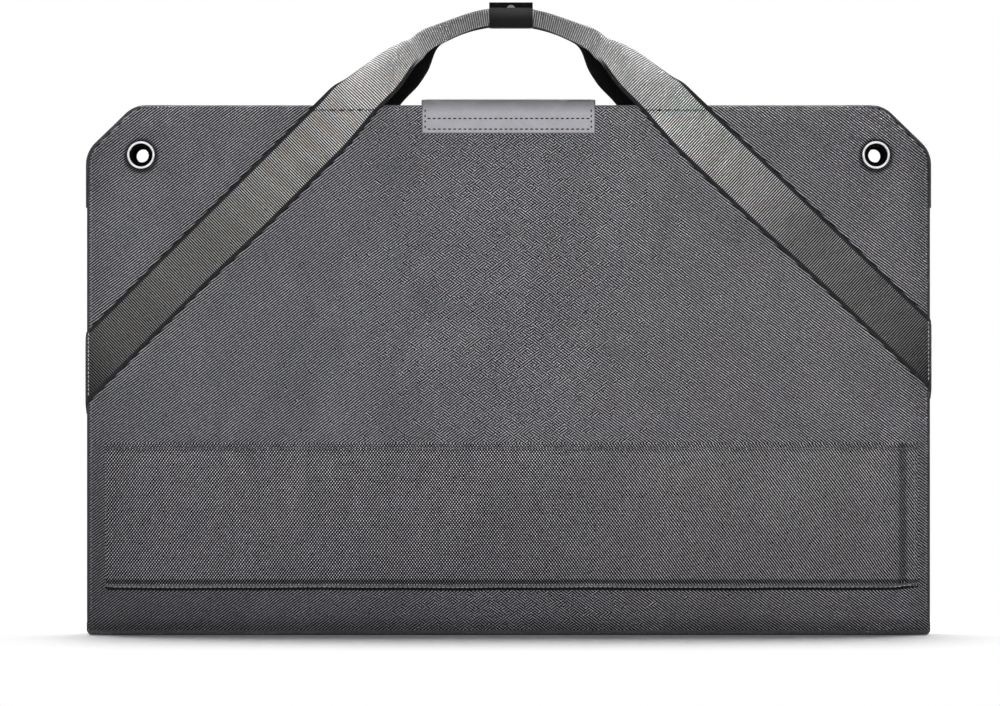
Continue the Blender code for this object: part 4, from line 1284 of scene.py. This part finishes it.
def inner_border(leaf):
    """Cloth round the solar film, hemmed at the window and stitched."""
    low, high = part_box("front_solar_laminate")
    overlap = 0.004
    window = (low.x + overlap, high.x - overlap, low.z + overlap, high.z - overlap)
    outer, _ = leaf_outline(COVER_WALL + 0.0003)
    holes = [circle(side * EYELET_X, EYELET_Z, EYELET_HOLE) for side in (-1, 1)]
    inner_out, outer_out = LEAF_INNER, LEAF_INNER + 0.0014
    shape = Shape()
    steps = edge_steps(rectangle(*window, 0.003), 0.008)
    hem_rows = ((0.0010, inner_out), (0.0004, inner_out + 0.0001), (0.0, inner_out + 0.0005), (0.0, outer_out))
    rings = []
    for grow, out in hem_rows:
        left, right, bottom, top = window
        loop, _ = rounded_loop(rectangle(left - grow, right + grow, bottom - grow, top + grow, 0.003 + grow), 4, steps)
        rings.append((loop, out))
    stack = np.stack([at_out(loop, out) for loop, out in rings])
    shape.grid(np.concatenate([stack, stack[:, :1]], axis=1), flat_rings([loop for loop, _ in rings]))
    spread = face_points()[::3]
    left, right, bottom, top = window
    outside = (np.abs(spread[:, 0]) > right + 0.004) | (spread[:, 1] < bottom - 0.004) | (spread[:, 1] > top + 0.004)
    for loops, out in (([outer, rings[0][0]], inner_out), ([outer, rings[-1][0]], outer_out)):
        shape.fill(loops + holes, lambda x, z, out=out: np.full(len(x), out), spread[outside])
    for loop in [outer] + holes:
        wall = np.stack([at_out(loop, inner_out), at_out(loop, outer_out)])
        shape.grid(np.concatenate([wall, wall[:, :1]], axis=1), flat_rings([loop, loop]))
    nodes = [leaf.named("inner_border")]
    piece = leaf.put(shape, "border_cloth", ("lining",), leaf.body, replaces=nodes, slot="lining_fabric")
    leaf.named("solar_film")
    stitches = Shape()
    loop, _ = rounded_loop(rectangle(left - 0.003, right + 0.003, bottom - 0.003, top + 0.003, 0.005), 4, steps)
    outline = leaf_outline(0.006)[0]
    for run in (loop, outline):
        path = at_out(np.concatenate([run, run[:1]]), inner_out - 0.00005)
        stitch_row(stitches, path, (0, -1, 0), 0.0042, 0.0028, 0.00030)
    leaf.put(stitches, "border_stitches", ("dark_thread",), leaf.body)


def solar_film(leaf):
    """Dimpled back film with a block of cut-corner cells and the tabs that join them."""
    low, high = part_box("front_solar_laminate")
    face, back = -high.y, -low.y
    shape = Shape()
    corners = rectangle(low.x, high.x, low.z, high.z, 0.003)
    steps = edge_steps(corners, 0.02)
    rows = ((0.0006, face), (0.0, face + 0.0004), (0.0, back - 0.0004), (0.0006, back))
    loops = []
    for inset, out in rows:
        corners = rectangle(low.x + inset, high.x - inset, low.z + inset, high.z - inset, 0.003 - inset)
        loops.append((rounded_loop(corners, 4, steps)[0], out))
    stack = np.stack([at_out(loop, out) for loop, out in loops])
    shape.grid(np.concatenate([stack, stack[:, :1]], axis=1), flat_rings([loop for loop, _ in loops]), 0)
    for loop, out in (loops[0], loops[-1]):
        shape.fill([loop], lambda x, z, out=out: np.full(len(x), out))
    columns, lines, gap = 4, 3, 0.004
    window = (low.x + 0.010, high.x - 0.010, low.z + 0.010, high.z - 0.010)
    width = (window[1] - window[0] + gap) / columns
    height = (window[3] - window[2] + gap) / lines
    for column in range(columns):
        for line in range(lines):
            left = window[0] + column * width
            bottom = window[2] + line * height
            cell(shape, left, left + width - gap, bottom, bottom + height - gap, face)
            for share in (0.2, 0.5, 0.8):
                z = bottom + share * (height - gap)
                if column < columns - 1:
                    pad(shape, left + width - gap - 0.002, left + width + 0.002, z - 0.0035, z + 0.0035, face, 2)
    finishes = ("film", "cell", "tab")
    nodes = [leaf.named("solar_laminate")]
    leaf.put(shape, "solar_film", finishes, leaf.body, replaces=nodes, slot="solar_film")


def cell(shape, left, right, low, high, face):
    middle = np.array([(left + right) / 2, (low + high) / 2])
    loops = []
    for inset, out in ((0.0, face + 0.0001), (0.0, face - 0.0001), (0.0004, face - 0.00022)):
        reach = np.array([(right - left) / 2, (high - low) / 2]) - inset
        cut = CELL_CUT - inset * 0.6
        corner = np.array([(reach[0], reach[1] - cut), (reach[0] - cut, reach[1])])
        quarters = [corner, corner[::-1] * (-1, 1), -corner, corner[::-1] * (1, -1)]
        loops.append((middle + np.concatenate(quarters), out))
    stack = np.stack([at_out(loop, out) for loop, out in loops])
    flat = flat_rings([loop for loop, _ in loops])
    shape.loft(stack, flat, 1)


def pad(shape, left, right, low, high, face, finish):
    loops = []
    for inset, out in ((0.0, face + 0.0001), (0.0, face - 0.0002), (0.0003, face - 0.0003)):
        corners = rectangle(left + inset, right - inset, low + inset, high - inset, 0.0005)
        loops.append((rounded_loop(corners, 2, [2, 2, 2, 2])[0], out))
    stack = np.stack([at_out(loop, out) for loop, out in loops])
    shape.loft(stack, flat_rings([loop for loop, _ in loops]), finish)


# Carrying gear


def closure(front):
    """One piece of leather, sewn to the front leaf and turned over the top edge as a magnetic tongue."""
    columns = even(-CLOSURE_HALF + 0.0004, CLOSURE_HALF - 0.0004, 0.004)
    bend_centre = (CLOSURE_OUT - CLOSURE_BEND, TONGUE_HEIGHT - CLOSURE_BEND)
    path = [(CLOSURE_OUT, z) for z in even(CLOSURE_LOW + 0.0003, bend_centre[1] - 0.001, 0.0015)]
    path += arc_points(bend_centre, CLOSURE_BEND, 0, 90, 8)
    path += [(out, TONGUE_HEIGHT) for out in even(bend_centre[0] - 0.001, TONGUE_BACK, 0.0015)]
    shape = Shape()
    sections = sheet_sections(path, columns, CLOSURE_LEATHER)
    shape.loft(sections, sheet_flat(path, columns))
    nodes = ["closure_panel", "closure_tongue_leather"]
    piece = put(shape, "closure_leather", ("leather",), replaces=nodes, slot="grey_leather")
    front.at(0.017, 0.4238)
    front.at(0.017, 0.4272)
    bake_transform(piece)
    lining = Shape()
    path = [(out, 0.42577) for out in even(0.0150, TONGUE_BACK, 0.0015)]
    lining.loft(sheet_sections(path, columns, 0.0025), sheet_flat(path, columns))
    nodes = ["closure_tongue_lining"]
    finishes = ("lining_leather",)
    piece = put(lining, "tongue_lining", finishes, "closure_tongue", replaces=nodes, slot="grey_leather")
    sewn = Shape()
    face = CLOSURE_OUT + CLOSURE_LEATHER / 2
    for z in (0.4131, 0.4046):
        stitch_row(sewn, at_rows(even(-0.0672, 0.0672, 0.004), face, z), (0, 1, 0), 0.00410, 0.0027, 0.00050)
    for x in (-0.0667, 0.0662):
        zs = even(0.4022, 0.4235, 0.002)
        path = np.column_stack([np.full(len(zs), x), np.full(len(zs), face), zs])
        stitch_row(sewn, path, (0, 1, 0), 0.0043, 0.0018, 0.00055)
    put(sewn, "closure_stitches", ("black_thread",), "front_leaf")


def grip_wrap(front):
    """Leather folded round the grip from behind, under it and up the front, with its press stud."""
    columns = even(WRAP_CENTRE - WRAP_HALF + 0.0003, WRAP_CENTRE + WRAP_HALF - 0.0003, 0.0025)
    back, low, fore = 0.0012, 0.4866, 0.0109
    bend = 0.0016
    path = [(back, z) for z in even(0.5073, low + bend + 0.001, 0.0015)]
    path += arc_points((back + bend, low + bend), bend, 180, 270, 6)
    path += [(out, low) for out in even(back + bend + 0.001, fore - bend - 0.0006, 0.0012)]
    path += arc_points((fore - bend, low + bend), bend, -90, 0, 6)
    heights = even(low + bend + 0.001, 0.5022, 0.0015)
    belly = 0.0007 * np.sin(np.pi * (heights - low) / (0.5022 - low)) ** 1.5
    path += list(zip(fore + belly, heights))
    shape = Shape()
    sections = sheet_sections(path, columns, 0.0012)
    sides = np.array([1] * (len(columns) - 1) + [0] * (len(columns) + 3))
    shape.loft(sections, sheet_flat(path, columns), sides)
    nodes = ["grip_wrap_back", "grip_wrap_front"]
    piece = put(shape, "grip_wrap_leather", ("wrap", "wrap_painted_shade_side"), replaces=nodes, slot="black_leather")
    front.at(0.0090, 0.4866)
    front.at(0.0101, 0.4866)
    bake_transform(piece)
    sewn = Shape()
    for x in (WRAP_CENTRE - WRAP_HALF + 0.003, WRAP_CENTRE + WRAP_HALF - 0.003):
        zs = heights[2:]
        path = np.column_stack([np.full(len(zs), x), fore + belly[2:] + 0.0006, zs])
        stitch_row(sewn, path, (0, 1, 0), 0.0030, 0.0021, 0.00022)
    put(sewn, "grip_wrap_stitches", ("black_thread",), "grip_wrap_tab")
    snap_z = 0.5010
    stud = Shape()
    profile = [(0.0001, 0.0020), (0.0033, 0.0020), (0.0035, 0.0023), (0.0034, 0.0029), (0.0022, 0.0032)]
    profile += [(0.0016, 0.0036), (0.0016, 0.0046), (0.0019, 0.0051), (0.0017, 0.0056), (0.0001, 0.0057)]
    turned(stud, profile, WRAP_CENTRE, snap_z)
    put(stud, "snap_stud", ("steel",), "front_handle", replaces=["grip_snap_stud"], slot="nickel")
    socket = Shape()
    profile = [(0.0024, 0.0062), (0.0030, 0.0061), (0.0035, 0.0066), (0.0035, 0.0094), (0.0033, 0.0099)]
    profile += [(0.0001, 0.0100), (0.0001, 0.0080), (0.0022, 0.0079)]
    turned(socket, profile, WRAP_CENTRE, snap_z)
    put(socket, "snap_socket", ("steel",), "grip_wrap_tab", replaces=["grip_snap_socket"], slot="nickel")


# Spine


def spine():
    """Cloth under the case in two halves, each rising as the foot of its leaf's cover."""
    half = 0.3372
    columns = even(-half, half, 0.02)
    for leaf in LEAVES:
        path = [(out, 0.0006) for out in even(0.0, 0.0130, 0.0026)]
        path += arc_points((0.0136, 0.0024), 0.0018, -80, 0, 6)
        path += [(0.0154, z) for z in even(0.0032, 0.0099, 0.0008)]
        heights = np.array(path)[:, 1]
        shape = Shape()
        sections = sheet_sections(path, columns, 0.0012)
        drop = np.clip((SPINE_CORNER - heights) / SPINE_CORNER, 0, 1)
        narrow = 1 - SPINE_CORNER / half * (1 - np.sqrt(1 - drop**2))
        sections[..., 0] *= narrow[:, None]
        flat = sheet_flat(path, columns)
        flat[..., 1] += 0.0099 - flat[-1, 0, 1]
        sides = np.array([1] * (len(columns) - 1) + [0] * (len(columns) + 3))
        # Rows lower than FOOT_FOLD take the dull dark foot cloth, painted shade where the cloth turns under
        folded = (heights[:-1] < FOOT_FOLD)[:, None]
        shape.loft(sections, flat, np.where(folded, 2, sides[None, :]))
        nodes = ["spine_cover"] if leaf.prefix == "front" else []
        piece = leaf.put(shape, "spine_cloth", ("case", "tape", "foot"), replaces=nodes, slot="case_fabric")
        leaf.at(0.0154, 0.0058)
        leaf.at(0.0154, 0.0090)
        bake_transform(piece)
        leaf.named("cover_cloth")
    columns = even(-0.3356, 0.3356, 0.02)
    lining = Shape()
    path = [(out, 0.0031) for out in even(-0.0128, 0.0128, 0.0016)]
    lining.loft(sheet_sections(path, columns, 0.0008), sheet_flat(path, columns))
    nodes = ["spine_lining"]
    piece = put(lining, "spine_lining_cloth", ("lining",), "spine", replaces=nodes, slot="lining_fabric")
    sewn = Shape()
    for out in (-0.0108, 0.0108):
        stitch_row(sewn, at_rows(even(-0.331, 0.331, 0.004), out, 0.00355), (0, 0, 1), 0.0042, 0.0028, 0.0003)
    put(sewn, "spine_lining_stitches", ("dark_thread",), "spine")


# Pouch on the rear leaf


def pouch(rear):
    """Soft open-topped pouch: a cloth shell that rises from its sewn edge to a full front."""
    half, low, high, depth = 0.100, 0.172, 0.268, 0.0129
    thick = 0.0012
    rim = np.linspace(0, 1, 9)[:-1] ** 1.5 * 0.016
    xs = np.concatenate([-half + rim, even(-half + 0.016, half - 0.016, 0.006), (half - rim)[::-1]])
    zs = np.concatenate([low + rim, even(low + 0.016, high, 0.006)])
    x, z = np.meshgrid(xs, zs)

    def rise(inset):
        share = np.clip(1 - inset / 0.016, 0, 1)
        return (1 - share**5) ** 0.2

    sides = rise(half - np.abs(x))
    foot = rise(z - low)
    sag = 0.0004 * np.sin(33 * x + 1) * np.sin(41 * z) - 0.0006 * smooth_share(z, 0.24, high) * np.cos(8 * x) ** 2
    out = LEAF_OUTER + 0.0003 + depth * np.minimum(sides, 1) * foot + sag * sides * foot
    front = np.stack([x, out + thick / 2, z], axis=-1)
    rows = np.gradient(front, axis=0)
    cols = np.gradient(front, axis=1)
    normal = unit(np.cross(cols, rows))
    normal *= np.sign(normal[..., 1:2]) + (normal[..., 1:2] == 0)
    back = front - normal * thick
    back[..., 1] = np.maximum(back[..., 1], LEAF_OUTER + 0.0002)
    flat = np.stack([x, z], axis=-1)
    shape = Shape()
    shape.grid(front, flat)
    shape.grid(back, flat)
    for cut in (np.s_[0, :], np.s_[-1, :], np.s_[:, 0], np.s_[:, -1]):
        shape.grid(np.stack([front[cut], back[cut]]), np.stack([flat[cut], flat[cut]]))
    nodes = ["cable_pouch"]
    piece = rear.put(shape, "pouch_cloth", ("case",), rear.body, replaces=nodes, slot="case_fabric", smooth=60)
    sewn = Shape()
    hem = even(-half + 0.018, half - 0.018, 0.004)
    heights = np.full(len(hem), high - 0.004)
    outs = np.interp(hem, xs, front[-1, :, 1])
    stitch_row(sewn, np.column_stack([hem, outs + 0.0001, heights]), (0, 1, 0), 0.004, 0.0028, 0.0003)
    rear.put(sewn, "pouch_stitches", ("pale_thread",), rear.body)


def pouch_flap(rear):
    """Cloth flap, sewn above the pouch and hanging over its mouth."""
    half = 0.1011
    columns = even(-half, half, 0.006)
    path = [(0.0170, z) for z in even(0.2935, 0.2860, 0.0012)]
    path += [(0.0171, 0.2848), (0.0176, 0.2836)]
    knee = [(0.0180, 0.2830), (0.0310, 0.2702)]
    slope = np.linspace(knee[0], knee[1], 14)[1:-1]
    slope[:, 0] += 0.0012 * np.sin(np.linspace(0, math.pi, len(slope)))
    path += [tuple(point) for point in slope]
    path += [(0.0310, 0.2690), (0.0311, 0.2676)]
    path += [(0.0311, z) for z in even(0.2660, 0.2283, 0.002)]
    path = np.array(path)
    for _ in range(3):
        path[1:-1] = (path[:-2] + 2 * path[1:-1] + path[2:]) / 4
    shape = Shape()
    shape.loft(sheet_sections(path, columns, 0.0013), sheet_flat(path, columns))
    piece = rear.put(shape, "pouch_flap_cloth", ("case",), replaces=["cable_pouch_flap"], slot="case_fabric")
    rear.at(0.017, 0.2864)
    rear.at(0.017, 0.2832)
    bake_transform(piece)
    sewn = Shape()
    stitch_row(sewn, at_rows(even(-half + 0.003, half - 0.003, 0.004), 0.0177, 0.2905), (0, 1, 0), 0.004, 0.0028, 0.0003)
    rear.put(sewn, "pouch_flap_seam_stitches", ("pale_thread",), rear.body)
    hem = Shape()
    stitch_row(hem, at_rows(even(-half + 0.004, half - 0.004, 0.004), 0.0318, 0.2325), (0, 1, 0), 0.004, 0.0028, 0.0003)
    rear.put(hem, "pouch_flap_hem_stitches", ("pale_thread",), "pouch_flap")


# Nodes of the frame that keep their shape


NODE_FINISHES = {
    "front_stiffener": "board",
    "rear_stiffener": "board",
    "front_kickstand_board": "board",
    "rear_kickstand_board": "board",
    "closure_magnet_bar": "magnet",
    "closure_keeper_strip": "steel",
    "spine_ribbon_lead": "ribbon",
    "junction_box_base": "plastic",
    "junction_box_lid": "plastic",
    "output_socket": "plastic",
}
NODE_BEVEL = 0.00025


def finish_nodes():
    for name, finish in NODE_FINISHES.items():
        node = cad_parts[name]
        node.data.materials.clear()
        node.data.materials.append(MATERIALS[finish])
        bevel = node.modifiers.new("soft_edges", "BEVEL")
        bevel.width = NODE_BEVEL
        bevel.segments = 2
        bevel.limit_method = "ANGLE"


# Stage


CAMERA_DISTANCE = 3.4
FRAME_WIDTH = 0.8
FRAME_CENTRE = (-0.0068, 0.2256)
SENSOR = 36.0


def camera():
    data = bpy.data.cameras.new("camera")
    data.sensor_width = SENSOR
    data.lens = SENSOR * CAMERA_DISTANCE / FRAME_WIDTH
    data.clip_end = 60.0
    holder = bpy.data.objects.new("camera", data)
    holder.location = (FRAME_CENTRE[0], -LEAF_OUTER - CAMERA_DISTANCE, FRAME_CENTRE[1])
    holder.rotation_euler = (math.pi / 2, 0, 0)
    bpy.context.scene.collection.objects.link(holder)
    bpy.context.scene.camera = holder


def softbox(name, place, target, size, power, spread):
    """A soft light with a grid in front of it, spread degrees wide."""
    data = bpy.data.lights.new(name, "AREA")
    data.spread = math.radians(spread)
    data.shape = "RECTANGLE"
    data.size, data.size_y = size
    data.energy = power
    holder = bpy.data.objects.new(name, data)
    holder.location = place
    holder.rotation_euler = (Vector(target) - Vector(place)).to_track_quat("-Z", "Y").to_euler()
    holder.visible_camera = False
    holder.visible_glossy = False
    bpy.context.scene.collection.objects.link(holder)


def world_light():
    """White to the camera and in reflections, and a dim even light on the object."""
    world = bpy.data.worlds.new("studio")
    world.use_nodes = True
    tree = world.node_tree
    shown = tree.nodes["Background"]
    shown.inputs["Color"].default_value = (1, 1, 1, 1)
    light = tree.nodes.new("ShaderNodeBackground")
    light.inputs["Color"].default_value = (1, 1, 1, 1)
    light.inputs["Strength"].default_value = AMBIENT
    path = tree.nodes.new("ShaderNodeLightPath")
    pick = tree.nodes.new("ShaderNodeMixShader")
    seen = path.outputs["Is Camera Ray"]
    for kind in ("Is Glossy Ray", "Is Transmission Ray"):
        either = tree.nodes.new("ShaderNodeMath")
        either.operation = "MAXIMUM"
        tree.links.new(seen, either.inputs[0])
        tree.links.new(path.outputs[kind], either.inputs[1])
        seen = either.outputs[0]
    tree.links.new(seen, pick.inputs[0])
    tree.links.new(light.outputs[0], pick.inputs[1])
    tree.links.new(shown.outputs[0], pick.inputs[2])
    tree.links.new(pick.outputs[0], tree.nodes["World Output"].inputs["Surface"])
    bpy.context.scene.world = world


def floor():
    """Pale floor that keeps the shadow of the case and fades into the white backdrop away from it."""
    size = 8.0
    mesh = bpy.data.meshes.new("floor")
    mesh.from_pydata([(-size, -size, 0), (size, -size, 0), (size, size, 0), (-size, size, 0)], [], [(0, 1, 2, 3)])
    piece = bpy.data.objects.new("floor", mesh)
    piece.location.z = -0.0003
    bpy.context.scene.collection.objects.link(piece)
    n = Nodes("pale_floor", 0.9)
    n.colour((0.92, 0.92, 0.92, 1))
    n.set(Specular_IOR_Level=0.0)
    split = n.add("ShaderNodeSeparateXYZ", Vector=n.space())
    beside = n.math("MAXIMUM", n.math("SUBTRACT", n.math("ABSOLUTE", split.outputs[0]), 0.28), 0.0)
    away = n.radius(n.math("MULTIPLY", beside, 2.5), n.math("ABSOLUTE", split.outputs[1]))
    far = n.stretch(away, 0.06, 0.40)
    path = n.add("ShaderNodeLightPath")
    glow = n.add("ShaderNodeEmission", Color=(1, 1, 1, 1), Strength=1.0)
    pick = n.add("ShaderNodeMixShader")
    n.feed(pick.inputs[0], n.math("MULTIPLY", far, path.outputs["Is Camera Ray"]))
    n.feed(pick.inputs[1], n.shader.outputs[0])
    n.feed(pick.inputs[2], glow.outputs[0])
    n.feed(n.tree.nodes["Material Output"].inputs["Surface"], pick.outputs[0])
    mesh.materials.append(n.material)


AMBIENT = 0.04
BOXES = {
    "key_box": {"place": (0, -3.0, 1.45), "target": (0, 0, 0.34), "size": (2.2, 0.3), "power": 1.9, "spread": 16},
    "fill_box": {"place": (0, -3.9, 0.3), "target": (0, 0, 0.25), "size": (2.2, 0.5), "power": 5.0, "spread": 60},
    "top_box": {"place": (0, 0.385, 2.0), "target": (0, 0.385, 0), "size": (2.8, 0.6), "power": 33, "spread": 120},
    "back_box": {"place": (0, 3.2, 0.9), "target": (0, 0, 0.25), "size": (2.4, 0.9), "power": 6.5, "spread": 60},
    "left_box": {"place": (-3.0, 1.2, 0.4), "target": (0, 0, 0.25), "size": (1.4, 0.5), "power": 2.4, "spread": 60},
    "right_box": {"place": (3.0, 1.2, 0.4), "target": (0, 0, 0.25), "size": (1.4, 0.5), "power": 2.4, "spread": 60},
}


def stage():
    camera()
    world_light()
    floor()
    for name, box in BOXES.items():
        softbox(name, **box)
    bpy.context.scene.view_settings.view_transform = "Standard"


def build():
    front, rear = LEAVES
    for leaf in LEAVES:
        cover(leaf)
        for side in ("left", "right"):
            corner_tape(leaf, side)
            eyelet(leaf, side)
        webbing(leaf)
        kickstand(leaf)
        inner_border(leaf)
        solar_film(leaf)
    closure(front)
    grip_wrap(front)
    spine()
    pouch(rear)
    pouch_flap(rear)
    finish_nodes()


build()
stage()
